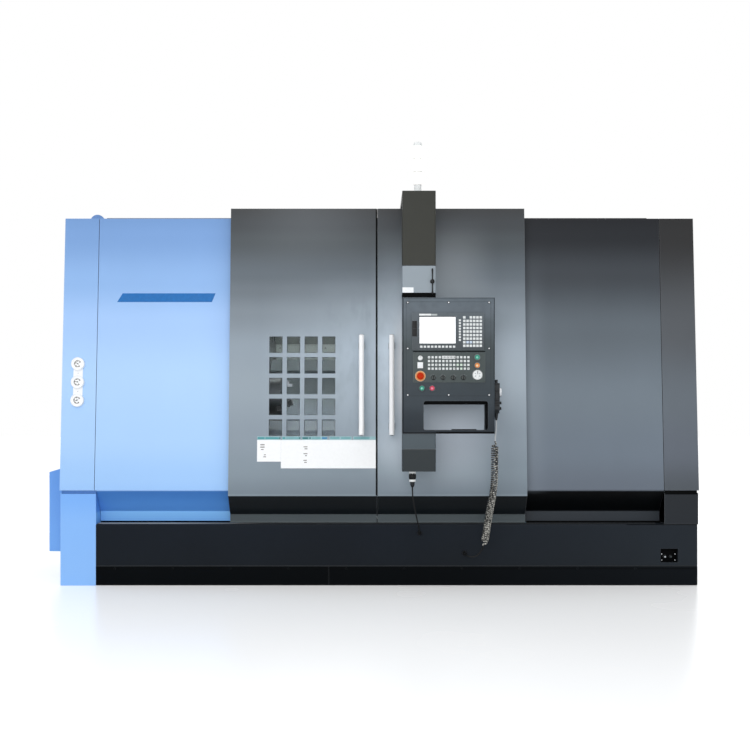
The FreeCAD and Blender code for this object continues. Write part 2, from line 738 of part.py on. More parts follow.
def make_doors():
    left1 = DOOR_SPLIT - DOOR_GAP / 2
    right0 = DOOR_SPLIT + DOOR_GAP / 2
    save("left_door", door_shell(left1 - LEFT_DOOR_WIDTH, left1).cut(window_cuts()))
    save("right_door", door_shell(right0, right0 + RIGHT_DOOR_WIDTH))
    save("left_door_handle", handle(LEFT_HANDLE_X))
    save("right_door_handle", handle(RIGHT_HANDLE_X))

    width, height = window_size()
    low, high = WINDOW_BOTTOM - GLASS_MARGIN, WINDOW_BOTTOM + height + GLASS_MARGIN
    inner = offset_line([(door_y(high), high), (door_y(low), low)], SHEET)
    glass = bent_sheet(inner, GLASS, WINDOW_LEFT - GLASS_MARGIN, WINDOW_LEFT + width + GLASS_MARGIN)
    save("door_window", glass)

    bottom = box(TRACK_LEFT, TRACK_RIGHT, TRACK_FRONT, TRACK_FRONT + TRACK_WIDTH,
                 BASE_TOP, BASE_TOP + TRACK_HEIGHT)
    top = box(TRACK_LEFT, TRACK_RIGHT, TOP_RAIL_FRONT, TOP_RAIL_FRONT + TOP_RAIL_THICK,
              PANEL_TOP, PANEL_TOP + TOP_RAIL_HEIGHT)
    save("door_tracks", Part.makeCompound([bottom, top]))


# ================================================================ cabinet at the back
def hinge_halves(x, y, z):
    """A pin hinge: the upper half with its pin, and the lower half that turns round the pin."""
    up = V(0, 0, HINGE_LENGTH / 2)
    lower = rod(V(x, y, z), up, HINGE_RADIUS)
    bore = rod(V(x, y, z), up, HINGE_PIN_RADIUS + RUNNING)
    upper_at = V(x, y, z + HINGE_LENGTH / 2 + SLIDE_AIR)
    upper = rod(upper_at, up, HINGE_RADIUS)
    pin = rod(V(x, y, z), up * 2, HINGE_PIN_RADIUS)
    return joined([upper, pin]), lower.cut(bore)


def make_cabinet():
    right = CABINET_LEFT + CABINET_WIDTH
    top = CABINET_BOTTOM + CABINET_HEIGHT
    back = REAR + CABINET_DEPTH
    shell = box(CABINET_LEFT, right, REAR, back, CABINET_BOTTOM, top)
    shell = shell.cut(box(
        CABINET_LEFT + SHEET, right - SHEET, REAR + SHEET, back,
        CABINET_BOTTOM + SHEET, top - SHEET))
    margin = 2 * FLANGE
    pieces = [shell, box(
        CABINET_LEFT + margin, right - margin, REAR + SHEET, REAR + SHEET + MOUNTING_PLATE,
        CABINET_BOTTOM + margin, top - margin)]
    row = DRIVES * DRIVE_WIDTH + (DRIVES - 1) * DRIVE_GAP
    first = CABINET_LEFT + (CABINET_WIDTH - row) / 2
    drive_z = CABINET_BOTTOM + CABINET_HEIGHT / 2
    for index in range(DRIVES):
        x = first + index * (DRIVE_WIDTH + DRIVE_GAP)
        pieces.append(box(
            x, x + DRIVE_WIDTH, REAR + SHEET, REAR + SHEET + DRIVE_DEPTH,
            drive_z, drive_z + DRIVE_HEIGHT))

    door_front = back + DOOR_AIR
    door_back = door_front + CABINET_DOOR_THICK
    leaf = box(CABINET_LEFT, right, door_front, door_back, CABINET_BOTTOM, top)
    leaf = leaf.cut(box(
        CABINET_LEFT + SHEET, right - SHEET, door_front, door_back - SHEET,
        CABINET_BOTTOM + SHEET, top - SHEET))
    leaves = [leaf]
    hinge_x = CABINET_LEFT - HINGE_OFFSET
    hinge_y = back + CABINET_DOOR_THICK / 2
    half = HINGE_LENGTH / 2
    for z in (CABINET_BOTTOM + CABINET_HEIGHT * 0.12, CABINET_BOTTOM + CABINET_HEIGHT * 0.82):
        fixed, moving = hinge_halves(hinge_x, hinge_y, z)
        pieces.append(fixed)
        web_low, web_high = z + half + SLIDE_AIR, z + HINGE_LENGTH
        pieces.append(box(hinge_x - HINGE_RADIUS, CABINET_LEFT, back - FLANGE, back, web_low, web_high))
        pieces.append(box(hinge_x - HINGE_RADIUS, hinge_x, back, hinge_y, web_low, web_high))
        leaves.append(moving)
        web = box(hinge_x, CABINET_LEFT + SHEET, hinge_y, hinge_y + HINGE_RADIUS, z, z + half)
        leaves.append(web.cut(rod(V(hinge_x, hinge_y, z), V(0, 0, half), HINGE_PIN_RADIUS + RUNNING)))

    switch_x = right - CABINET_WIDTH * 0.12
    switch_z = CABINET_BOTTOM + CABINET_HEIGHT * 0.7
    save("electrical_cabinet", joined(pieces))
    save("cabinet_door", joined(leaves))

    face_y = door_back + SLIDE_AIR
    disc = rod(V(switch_x, face_y, switch_z), V(0, SWITCH_DEPTH, 0), SWITCH_RADIUS)
    grip_half = SWITCH_RADIUS / 4
    grip = box(
        switch_x - grip_half, switch_x + grip_half, face_y, face_y + 2 * SWITCH_DEPTH,
        switch_z - SWITCH_RADIUS * 0.8, switch_z + SWITCH_RADIUS * 0.8)
    save("main_switch", joined([disc, grip]))


# ================================================================ machine inside
def bed_body():
    low = slant(BED_LOW, 0)
    high = slant(BED_HIGH, 0)
    outline = [
        low, high, (BED_BACK, high[1]), (BED_BACK, BASE_TOP),
        (low[0] + FLANGE * 2, BASE_TOP), (low[0], low[1] - FLANGE * 4)]
    return prism_x(outline, BED_LEFT, BED_RIGHT)


def make_bed():
    ways = []
    guard_face = HEAD_RIGHT + GUARD_THICK
    for centre in TAIL_WAYS + SADDLE_WAYS:
        ways.append(slant_box(
            guard_face, BED_RIGHT, centre - WAY_WIDTH / 2, centre + WAY_WIDTH / 2, 0, WAY_HEIGHT))
    body = bed_body()
    save("slant_bed", joined([body] + ways))

    outline = [
        (GUARD_FRONT, BASE_TOP), (GUARD_BACK, BASE_TOP), (GUARD_BACK, GUARD_TOP), (GUARD_FRONT, GUARD_TOP)]
    left = prism_x(outline, HEAD_RIGHT, guard_face)
    hole = rod(V(HEAD_RIGHT, SPINDLE_Y, SPINDLE_Z), V(GUARD_THICK, 0, 0), GUARD_HOLE)
    left = left.cut([body, hole])
    right = prism_x(outline, BED_RIGHT, BED_RIGHT + GUARD_THICK)
    save("end_guards", Part.makeCompound([left, right]))


def make_headstock():
    crest = CENTRE_HEIGHT + HEAD_CREST
    shoulder = crest - HEAD_CHAMFER
    narrow = HEAD_HALF - HEAD_CHAMFER
    outline = [
        (-HEAD_HALF, 0), (HEAD_HALF, 0), (HEAD_HALF, shoulder), (narrow, crest),
        (-narrow, crest), (-HEAD_HALF, shoulder)]
    head = prism_x([slant(s, h) for s, h in outline], BED_LEFT, HEAD_RIGHT)
    length = V(HEAD_RIGHT - BED_LEFT, 0, 0)
    left = V(BED_LEFT, SPINDLE_Y, SPINDLE_Z)
    save("headstock", head.cut(rod(left, length, SPINDLE_RADIUS + RUNNING)))

    axis = V(1, 0, 0)
    pulley_right = BED_LEFT - FLANGE
    pulley_left = pulley_right - PULLEY_LENGTH
    cylinder_right = pulley_left - FLANGE
    cylinder_left = cylinder_right - CYLINDER_LENGTH
    profile = [
        (0, cylinder_left), (CYLINDER_RADIUS, cylinder_left), (CYLINDER_RADIUS, cylinder_right),
        (SPINDLE_RADIUS, cylinder_right), (SPINDLE_RADIUS, pulley_left),
        (PULLEY_RADIUS, pulley_left), (PULLEY_RADIUS, pulley_right),
        (SPINDLE_RADIUS, pulley_right), (SPINDLE_RADIUS, CHUCK_LEFT - CHUCK_LENGTH / 7),
        (FLANGE_RADIUS, CHUCK_LEFT - CHUCK_LENGTH / 7), (FLANGE_RADIUS, CHUCK_LEFT), (0, CHUCK_LEFT)]
    save("spindle", turned(profile, V(0, SPINDLE_Y, SPINDLE_Z), axis))


def around_spindle(shape, angle):
    turned_copy = shape.copy()
    turned_copy.rotate(V(0, SPINDLE_Y, SPINDLE_Z), V(1, 0, 0), angle)
    return turned_copy


def make_chuck():
    chamfer = JAW_STEP / 4
    right = CHUCK_LEFT + CHUCK_LENGTH
    centre = V(0, SPINDLE_Y, SPINDLE_Z)
    body = turned(
        [(0, CHUCK_LEFT), (CHUCK_RADIUS - chamfer, CHUCK_LEFT), (CHUCK_RADIUS, CHUCK_LEFT + chamfer),
         (CHUCK_RADIUS, right - chamfer), (CHUCK_RADIUS - chamfer, right), (0, right)], centre, V(1, 0, 0))
    cuts = [rod(V(right - CHUCK_LENGTH / 2, SPINDLE_Y, SPINDLE_Z), V(CHUCK_LENGTH / 2, 0, 0), CHUCK_BORE)]
    half = JAW_WIDTH / 2
    air = SLIDE_AIR
    slot = box(
        right - JAW_KEY - air, right, SPINDLE_Y - half - air, SPINDLE_Y + half + air,
        SPINDLE_Z, SPINDLE_Z + CHUCK_RADIUS)
    profile = [
        (right - JAW_KEY, JAW_INNER), (right + 3 * JAW_STEP, JAW_INNER),
        (right + 3 * JAW_STEP, JAW_INNER + JAW_STEP), (right + 2 * JAW_STEP, JAW_INNER + JAW_STEP),
        (right + 2 * JAW_STEP, JAW_INNER + 2 * JAW_STEP), (right + JAW_STEP, JAW_INNER + 2 * JAW_STEP),
        (right + JAW_STEP, JAW_OUTER), (right - JAW_KEY, JAW_OUTER)]
    jaw = prism_y([(x, SPINDLE_Z + r) for x, r in profile], SPINDLE_Y - half, SPINDLE_Y + half)
    for index in range(JAW_COUNT):
        angle = index * 360.0 / JAW_COUNT
        cuts.append(around_spindle(slot, angle))
        save("chuck_jaw_" + str(index + 1), around_spindle(jaw, angle))
    save("chuck_body", body.cut(cuts))


def make_saddle():
    right = SADDLE_LEFT + SADDLE_LENGTH
    low = SADDLE_WAYS[0] - WAY_WIDTH / 2
    high = SADDLE_WAYS[1] + WAY_WIDTH / 2
    seat = WAY_HEIGHT + SLIDE_AIR
    top = seat + SADDLE_THICK
    pieces = [slant_box(SADDLE_LEFT, right, low, high, seat, top)]
    for x in (SADDLE_LEFT + CROSS_WAY_INSET, right - CROSS_WAY_INSET - CROSS_WAY_WIDTH):
        pieces.append(slant_box(x, x + CROSS_WAY_WIDTH, low, high, top, top + CROSS_WAY_HEIGHT))
    save("saddle", joined(pieces))

    slide_seat = top + CROSS_WAY_HEIGHT + SLIDE_AIR
    slide_top = slide_seat + SLIDE_THICK
    slide = slant_box(
        SADDLE_LEFT + SLIDE_INSET, right - SLIDE_INSET, SLIDE_LOW, SLIDE_LOW + SLIDE_LENGTH,
        slide_seat, slide_top)
    head_left = TURRET_LEFT + TURRET_THICK + 2 * SLIDE_AIR
    head_right = head_left + HEAD_BOX_LENGTH
    turret_y, turret_z = slant(TURRET_ALONG, CENTRE_HEIGHT)
    head = slant_box(
        max(head_left, SADDLE_LEFT + SLIDE_INSET), head_right,
        TURRET_ALONG - HEAD_BOX_HALF, TURRET_ALONG + HEAD_BOX_HALF, slide_top, CENTRE_HEIGHT)
    left_end = V(head_left, turret_y, turret_z)
    drum = rod(left_end, V(HEAD_BOX_LENGTH, 0, 0), HEAD_BOX_HALF)
    motor = rod(V(head_right, turret_y, turret_z), V(MOTOR_LENGTH, 0, 0), MOTOR_RADIUS)
    bore = rod(left_end, V(TURRET_THICK, 0, 0), TURRET_SHAFT + RUNNING)
    save("cross_slide", joined([slide, head, drum, motor]).cut(bore))


def make_turret():
    """Twelve-sided tool disc with turning tools and boring bars in turn round its rim."""
    centre_y, centre_z = slant(TURRET_ALONG, CENTRE_HEIGHT)
    right = TURRET_LEFT + TURRET_THICK
    step = 2 * math.pi / TURRET_SIDES
    outline = []
    for side in range(TURRET_SIDES):
        angle = (side + 0.5) * step
        outline.append((
            centre_y + TURRET_RADIUS * math.cos(angle), centre_z + TURRET_RADIUS * math.sin(angle)))
    pieces = [prism_x(outline, TURRET_LEFT, right)]
    pieces.append(rod(V(right, centre_y, centre_z), V(TURRET_THICK - SLIDE_AIR, 0, 0), TURRET_SHAFT))
    flat = TURRET_RADIUS * math.cos(step / 2)
    inset = TURRET_THICK / 10
    for side in range(TURRET_SIDES):
        half = HOLDER_WIDTH / 2
        holder = box(
            TURRET_LEFT + inset, right - inset, centre_y - half, centre_y + half,
            centre_z + flat, centre_z + HOLDER_REACH)
        if side % 2 == 0:
            tool = box(
                TURRET_LEFT + inset, TURRET_LEFT + inset + TOOL_SHANK,
                centre_y - half, centre_y - half + TOOL_SHANK, centre_z + flat, centre_z + TOOL_REACH)
        else:
            middle = centre_z + (flat + HOLDER_REACH) / 2
            tool = faceted(
                [(TOOL_SHANK / 2, 0), (TOOL_SHANK / 2, BAR_TOOL_LENGTH)],
                V(TURRET_LEFT + inset, centre_y, middle), V(-1, 0, 0), 8)
        station = joined([holder, tool])
        station.rotate(V(0, centre_y, centre_z), V(1, 0, 0), math.degrees(side * step))
        pieces.append(station)
    save("turret_disc", joined(pieces))


def make_tailstock():
    right = TAIL_LEFT + TAIL_LENGTH
    low = TAIL_WAYS[0] - WAY_WIDTH / 2
    high = TAIL_WAYS[1] + WAY_WIDTH / 2
    seat = WAY_HEIGHT + SLIDE_AIR
    foot = slant_box(TAIL_LEFT, right, low, high, seat, seat + TAIL_FOOT)
    neck = slant_box(
        TAIL_LEFT, right, -TAIL_NECK_HALF, high - 2 * SLIDE_AIR, seat + TAIL_FOOT, CENTRE_HEIGHT)
    brace = prism_x(
        [slant(low, seat + TAIL_FOOT), slant(-TAIL_NECK_HALF, seat + TAIL_FOOT),
         slant(-TAIL_NECK_HALF, CENTRE_HEIGHT)], TAIL_LEFT + TAIL_FOOT / 2, right - TAIL_FOOT / 2)
    left_end = V(TAIL_LEFT, SPINDLE_Y, SPINDLE_Z)
    barrel = rod(left_end, V(TAIL_LENGTH, 0, 0), TAIL_BARREL)
    bore = rod(left_end, V(TAIL_LENGTH, 0, 0), QUILL_RADIUS + RUNNING)
    save("tailstock", joined([foot, neck, brace, barrel]).cut(bore))

    nose = TAIL_LEFT - QUILL_NOSE
    profile = [
        (0, nose - CENTRE_BODY - CENTRE_POINT), (CENTRE_RADIUS, nose - CENTRE_BODY),
        (CENTRE_RADIUS, nose), (QUILL_RADIUS, nose), (QUILL_RADIUS, nose + QUILL_LENGTH),
        (0, nose + QUILL_LENGTH)]
    save("quill", turned(profile, V(0, SPINDLE_Y, SPINDLE_Z), V(1, 0, 0)))


# ================================================================ pendant
def face_x(u):
    return BOX_LEFT + u


def face_z(v):
    return BOX_TOP - v


def box_front():
    return ARM_Y - BOX_DEPTH / 2


def rounded_block(x0, x1, y0, y1, z0, z1, radius):
    block = box(x0, x1, y0, y1, z0, z1)
    upright = []
    for edge in block.Edges:
        start, end = edge.Vertexes[0].Point, edge.Vertexes[-1].Point
        if abs(start.x - end.x) < 0.01 and abs(start.y - end.y) < 0.01:
            upright.append(edge)
    return block.makeFillet(radius, upright)


def face_plate(u, v, width, height, thick, base_y):
    """A flat plate on the box's face, its back at base_y."""
    return box(
        face_x(u), face_x(u + width), base_y - thick, base_y, face_z(v + height), face_z(v))


def key(u, v, width, height, base_y):
    """One raised key, placed by its middle."""
    return face_plate(u - width / 2, v - height / 2, width, height, KEY_RISE, base_y)


def on_face(u, v, y):
    return V(face_x(u), y, face_z(v))


def make_arm():
    half = ARM_WIDTH / 2
    x0, x1 = ARM_X - half, ARM_X + half
    y0, y1 = ARM_Y - ARM_DEPTH / 2, ARM_Y + ARM_DEPTH / 2
    arm = rounded_block(x0, x1, y0, y1, ARM_BOTTOM, ARM_TOP, BOX_ROUND)
    beam = box(x0, x1, ARM_Y, BEAM_END, ARM_TOP - BEAM_THICK, ARM_TOP)
    post = box(
        x0 + POST_INSET, x1 - POST_INSET, BEAM_END - POST_DEPTH, BEAM_END - POST_INSET,
        PANEL_TOP, ARM_TOP - BEAM_THICK)
    margin = FOOT_PLATE_MARGIN
    foot = box(
        x0 - margin, x1 + margin, BEAM_END - POST_DEPTH - margin, BEAM_END + margin,
        PANEL_TOP, PANEL_TOP + FOOT_PLATE)
    save("pendant_arm", joined([arm, beam, post, foot]))

    housing = rounded_block(x0, x1, y0, y1, HOUSING_BOTTOM, ARM_BOTTOM, BOX_ROUND)
    pivot_bore = rod(
        V(ARM_X, ARM_Y, HOUSING_BOTTOM), V(0, 0, PIVOT_LENGTH + SHEET), PIVOT_RADIUS + RUNNING)
    save("swivel_housing", housing.cut(pivot_bore))

    hub_back = y0 - SLIDE_AIR
    hub = faceted(
        [(LEVER_HUB_RADIUS, 0), (LEVER_HUB_RADIUS, LEVER_HUB_LENGTH)],
        V(LEVER_X, hub_back, LEVER_Z), V(0, -1, 0))
    bar = faceted(
        [(LEVER_BAR_RADIUS, 0), (LEVER_BAR_RADIUS, LEVER_LENGTH)],
        V(LEVER_X, hub_back - LEVER_HUB_LENGTH / 2, LEVER_Z - LEVER_LENGTH / 2), V(0, 0, 1), 8)
    save("swivel_lever", joined([hub, bar]))


def make_tower():
    """Signal tower: foot, stem, three lens modules between grooves, cap."""
    lens, groove = TOWER_RADIUS, TOWER_RADIUS - LENS_GAP
    profile = [(TOWER_FOOT_RADIUS, 0), (TOWER_FOOT_RADIUS, TOWER_FOOT), (groove, TOWER_FOOT)]
    height = TOWER_STEM
    profile.append((groove, height))
    for _ in range(LENS_COUNT):
        profile.append((lens, height))
        profile.append((lens, height + LENS_HEIGHT - LENS_GAP))
        profile.append((groove, height + LENS_HEIGHT - LENS_GAP))
        height += LENS_HEIGHT
        profile.append((groove, height))
    profile.append((lens, height))
    profile.append((lens, height + TOWER_CAP / 2))
    profile.append((lens * 0.7, height + TOWER_CAP))
    save("signal_tower", faceted(profile, V(TOWER_X, ARM_Y, ARM_TOP), V(0, 0, 1)))


def stop_well(y_front):
    """The well that the emergency stop's neck runs in, from y_front back."""
    deep = STOP_RING_THICK + STOP_NECK_SUNK + STOP_TRAVEL + BUTTON_AIR
    return rod(on_face(STOP_U, STOP_V, y_front), V(0, deep, 0), STOP_NECK_RADIUS + BUTTON_AIR)


def collar(u, v, radius, height, base_y):
    """The fixed ring round a button."""
    inner = radius + BUTTON_AIR
    place, outward = on_face(u, v, base_y), V(0, -1, 0)
    ring = faceted([(inner + COLLAR_WALL, 0), (inner + COLLAR_WALL, height)], place, outward)
    return ring.cut(faceted([(inner, 0), (inner, height)], place, outward))


def push_button(name, u, v, base_y, radius, travel):
    """A round cap that runs in its collar, off its seat by its travel."""
    back = base_y - travel - BUTTON_AIR
    save(name, faceted([(radius, 0), (radius, BUTTON_THICK)], on_face(u, v, back), V(0, -1, 0)))


def turning_knob(name, u, v, base_y, radius, thick):
    """A round knob with a raised grip across it."""
    back = base_y - SLIDE_AIR
    body = faceted([(radius, 0), (radius * 0.9, thick * 0.6)], on_face(u, v, back), V(0, -1, 0))
    grip_half = radius * 0.2
    grip = box(
        face_x(u) - grip_half, face_x(u) + grip_half, back - thick, back - thick * 0.3,
        face_z(v) - radius * 0.85, face_z(v) + radius * 0.85)
    save(name, joined([body, grip]))


def make_control_box():
    y0, y1 = box_front(), box_front() + BOX_DEPTH
    bottom = BOX_TOP - BOX_HEIGHT
    body = rounded_block(BOX_LEFT, BOX_LEFT + BOX_WIDTH, y0, y1, bottom, BOX_TOP, BOX_ROUND)
    passage = box(
        face_x(PASS_LEFT), face_x(PASS_LEFT + PASS_WIDTH), y0, y1,
        face_z(PASS_TOP + PASS_HEIGHT), face_z(PASS_TOP))
    along_y = [e for e in passage.Edges if abs(e.Vertexes[0].Point.y - e.Vertexes[-1].Point.y) > 1]
    passage = passage.makeFillet(PASS_ROUND, along_y)
    neck_height = HOUSING_BOTTOM - SWIVEL_AIR - BOX_TOP
    neck_radius = min(NECK_RADIUS, ARM_DEPTH / 2)
    neck = turned(
        [(0, 0), (neck_radius - NECK_CHAMFER, 0), (neck_radius, NECK_CHAMFER),
         (neck_radius, neck_height), (PIVOT_RADIUS, neck_height),
         (PIVOT_RADIUS, neck_height + PIVOT_LENGTH), (0, neck_height + PIVOT_LENGTH)],
        V(ARM_X, ARM_Y, BOX_TOP), V(0, 0, 1))
    body = joined([body, neck]).cut([passage, stop_well(y0 - PANEL_THICK - STOP_RING_THICK)])
    power = [collar(u, v, BUTTON_RADIUS, COLLAR_HEIGHT, y0) for u, v in (POWER_ON_UV, POWER_OFF_UV)]
    save("control_box", joined([body] + power))


def make_display():
    """Screen, soft keys and lettered key field in one bezel."""
    y0 = box_front()
    plate = face_plate(DISPLAY_LEFT, DISPLAY_TOP, DISPLAY_WIDTH, DISPLAY_HEIGHT, DISPLAY_THICK, y0)
    front = y0 - DISPLAY_THICK
    screen = face_plate(
        SCREEN_LEFT, SCREEN_TOP, SCREEN_WIDTH, SCREEN_HEIGHT, SCREEN_SUNK, front + SCREEN_SUNK)
    keys = []
    for row in range(MDI_ROWS):
        for column in range(MDI_COLUMNS):
            if (row, column) != (0, 1):
                keys.append(key(
                    MDI_LEFT + column * MDI_PITCH_X, MDI_TOP + row * MDI_PITCH_Y,
                    MDI_KEY_WIDTH, MDI_KEY_HEIGHT, front))
    for column in range(SOFT_KEYS):
        keys.append(key(
            SOFT_LEFT + column * SOFT_PITCH, SOFT_TOP, SOFT_KEY_WIDTH, SOFT_KEY_HEIGHT, front))
    for row in range(SIDE_KEYS):
        keys.append(key(
            SIDE_KEY_X, SIDE_KEY_TOP + row * SIDE_KEY_PITCH, SIDE_KEY_WIDTH, SIDE_KEY_HEIGHT, front))
    save("display_unit", joined([plate.cut(screen)] + keys))


def make_operator_panel():
    y0 = box_front()
    front = y0 - PANEL_THICK
    plate = face_plate(PANEL_LEFT, PANEL_V, PANEL_WIDTH, PANEL_HEIGHT, PANEL_THICK, y0)
    raised = []
    for row in range(FUNCTION_ROWS):
        for column in range(FUNCTION_COLUMNS):
            if row > 0 or not READOUT_FIRST <= column <= READOUT_LAST:
                raised.append(key(
                    FUNCTION_LEFT + column * FUNCTION_PITCH_X, FUNCTION_TOP + row * FUNCTION_PITCH_Y,
                    FUNCTION_KEY, FUNCTION_KEY, front))
    readout_middle = FUNCTION_LEFT + (READOUT_FIRST + READOUT_LAST) / 2 * FUNCTION_PITCH_X
    readout_width = (READOUT_LAST - READOUT_FIRST + 1) * FUNCTION_PITCH_X - SHEET
    raised.append(key(readout_middle, FUNCTION_TOP, readout_width, READOUT_HEIGHT, front))
    raised.append(face_plate(
        PORT_U - PORT_WIDTH / 2, PORT_V - PORT_HEIGHT / 2, PORT_WIDTH, PORT_HEIGHT, PORT_RISE, front))
    raised.append(rod(on_face(STOP_U, STOP_V, front), V(0, -STOP_RING_THICK, 0), STOP_RING_RADIUS))
    for u, v in (START_UV, HOLD_UV):
        raised.append(collar(u, v, BUTTON_RADIUS, COLLAR_HEIGHT, front))
    save("operator_panel", joined([plate] + raised).cut(stop_well(front - STOP_RING_THICK)))

    push_button("start_button", *START_UV, front, BUTTON_RADIUS, BUTTON_TRAVEL)
    push_button("hold_button", *HOLD_UV, front, BUTTON_RADIUS, BUTTON_TRAVEL)
    push_button("power_on_button", *POWER_ON_UV, y0, BUTTON_RADIUS, BUTTON_TRAVEL)
    push_button("power_off_button", *POWER_OFF_UV, y0, BUTTON_RADIUS, BUTTON_TRAVEL)
    turning_knob("key_switch", *KEY_SWITCH_UV, front, BUTTON_RADIUS, KNOB_THICK)
    turning_knob("override_dial", *DIAL_UV, front, DIAL_RADIUS, DIAL_THICK)
    for index, u in enumerate(KNOB_US):
        turning_knob("selector_knob_" + str(index + 1), u, KNOB_V, front, KNOB_RADIUS, KNOB_THICK)

    back = front - STOP_RING_THICK + STOP_NECK_SUNK
    under = STOP_NECK_SUNK + STOP_TRAVEL + BUTTON_AIR
    cap = turned(
        [(0, 0), (STOP_NECK_RADIUS, 0), (STOP_NECK_RADIUS, under), (STOP_CAP_RADIUS, under),
         (STOP_CAP_RADIUS, under + STOP_CAP_EDGE), (STOP_CAP_RADIUS * 0.75, under + STOP_CAP_HEIGHT - 1),
         (0, under + STOP_CAP_HEIGHT)],
        on_face(STOP_U, STOP_V, back), V(0, -1, 0))
    save("emergency_stop", cap)


def make_tail_box():
    half = ARM_WIDTH / 2
    y0, y1 = ARM_Y - ARM_DEPTH / 2, ARM_Y + ARM_DEPTH / 2
    top = BOX_TOP - BOX_HEIGHT
    seam_z = top - TAIL_BOX_UPPER
    block = rounded_block(
        ARM_X - half, ARM_X + half, y0, y1, top - TAIL_BOX_HEIGHT, top, BOX_ROUND)
    core = TAIL_BOX_GROOVE
    band = box(ARM_X - half, ARM_X + half, y0, y1, seam_z - core, seam_z)
    band = band.cut(box(
        ARM_X - half + core, ARM_X + half - core, y0 + core, y1 - core, seam_z - core, seam_z))
    save("tail_box", block.cut(band))

    # Stacked rings and a tapered boot, from the box's underside down.
    profile = list(CONNECTOR_RINGS) + [(LEAD_DIAMETER / 2 + 2, CONNECTOR_LENGTH)]
    save("lead_connector", faceted(profile, V(CONNECTOR_X, ARM_Y, top - TAIL_BOX_HEIGHT), V(0, 0, -1)))


# ================================================================ hand wheel unit
def make_wheel_unit():
    """Hand-held pulse unit hung on the box's side, its dial facing outwards."""
    x0 = BOX_LEFT + BOX_WIDTH
    x1 = x0 + WHEEL_UNIT_THICK
    half = WHEEL_UNIT_WIDTH / 2
    shoulder = half / 2
    outline = [
        (ARM_Y - half, WHEEL_UNIT_TOP - shoulder / 2), (ARM_Y - half + shoulder / 2, WHEEL_UNIT_TOP),
        (ARM_Y + half - shoulder / 2, WHEEL_UNIT_TOP), (ARM_Y + half, WHEEL_UNIT_TOP - shoulder / 2),
        (ARM_Y + half, WHEEL_UNIT_BOTTOM + shoulder), (ARM_Y + shoulder / 2, WHEEL_UNIT_BOTTOM),
        (ARM_Y - shoulder / 2, WHEEL_UNIT_BOTTOM), (ARM_Y - half, WHEEL_UNIT_BOTTOM + shoulder)]
    body = prism_x(outline, x0, x1)
    boot = faceted(
        [(12, -SHEET), (12, 0), (CORD_DIAMETER / 2 + 1.5, boot_length())],
        unit_exit() + V(0, 0, boot_length()), V(0, 0, -1))
    hook = faceted(
        [(UNIT_KNOB_RADIUS, -SHEET), (UNIT_KNOB_RADIUS, FLANGE / 2)],
        V(x0 + WHEEL_UNIT_THICK / 2, ARM_Y, WHEEL_UNIT_TOP), V(0, 0, 1), 8)
    save("wheel_unit", joined([body, boot, hook]))

    face = x1 + SLIDE_AIR
    spin = V(1, 0, 0)
    wheel = turned(
        [(0, 0), (WHEEL_RADIUS, 0), (WHEEL_RADIUS, WHEEL_THICK), (WHEEL_RADIUS - 5, WHEEL_THICK),
         (WHEEL_RADIUS - 7, WHEEL_THICK - 5), (0, WHEEL_THICK - 5)], V(face, ARM_Y, WHEEL_Z), spin)
    crank = faceted(
        [(4, 0), (4, 8)], V(face + WHEEL_THICK - 6, ARM_Y, WHEEL_Z - WHEEL_RADIUS * 0.55), spin, 8)
    save("hand_wheel", joined([wheel, crank]))
    for name, z in (("axis_knob", AXIS_KNOB_Z), ("rate_knob", RATE_KNOB_Z)):
        knob = faceted(
            [(UNIT_KNOB_RADIUS, 0), (UNIT_KNOB_RADIUS - 1, UNIT_KNOB_THICK)],
            V(face, UNIT_KNOB_Y, z), spin)
        save(name, knob)


def boot_length():
    return FLANGE


def unit_exit():
    """Where the curly cord leaves the hand wheel unit."""
    return V(BOX_LEFT + BOX_WIDTH + WHEEL_UNIT_THICK / 2, ARM_Y, WHEEL_UNIT_BOTTOM - boot_length())


# ================================================================ cords
def gland(place):
    """Cable gland on the base's front: hexagon nut, collar and taper, pointing out at the operator."""
    outward = V(0, -1, 0)
    nut = []
    for corner in range(6):
        angle = math.radians(60 * corner)
        nut.append(place + V(GLAND_RADIUS * math.cos(angle), 0, GLAND_RADIUS * math.sin(angle)))
    hexagon = prism(nut, outward * (GLAND_LENGTH / 3))
    taper = faceted(
        [(GLAND_RADIUS * 0.75, 0), (GLAND_RADIUS * 0.75, GLAND_LENGTH * 0.7),
         (CORD_DIAMETER / 2 + 1, GLAND_LENGTH)], place, outward)
    return joined([hexagon, taper])


def make_fittings():
    """Two cable glands on the base's front, and the service plate in its notch."""
    plate_back = FRONT + NOTCH_DEPTH
    plate = box(
        NOTCH_LEFT, NOTCH_LEFT + NOTCH_WIDTH, plate_back - SHEET, plate_back,
        NOTCH_BOTTOM, NOTCH_BOTTOM + NOTCH_HEIGHT)
    fittings = [plate]
    for share, radius in FITTING_PLACES:
        place = V(NOTCH_LEFT + NOTCH_WIDTH * share, plate_back, NOTCH_BOTTOM + NOTCH_HEIGHT * 0.4)
        fittings.append(rod(place, V(0, -FITTING_LENGTH, 0), radius))
    save("cable_fittings", Part.makeCompound([gland(CORD_GLAND), gland(LEAD_GLAND), joined(fittings)]))


def unit_vector(vector):
    copy = V(vector)
    copy.normalize()
    return copy


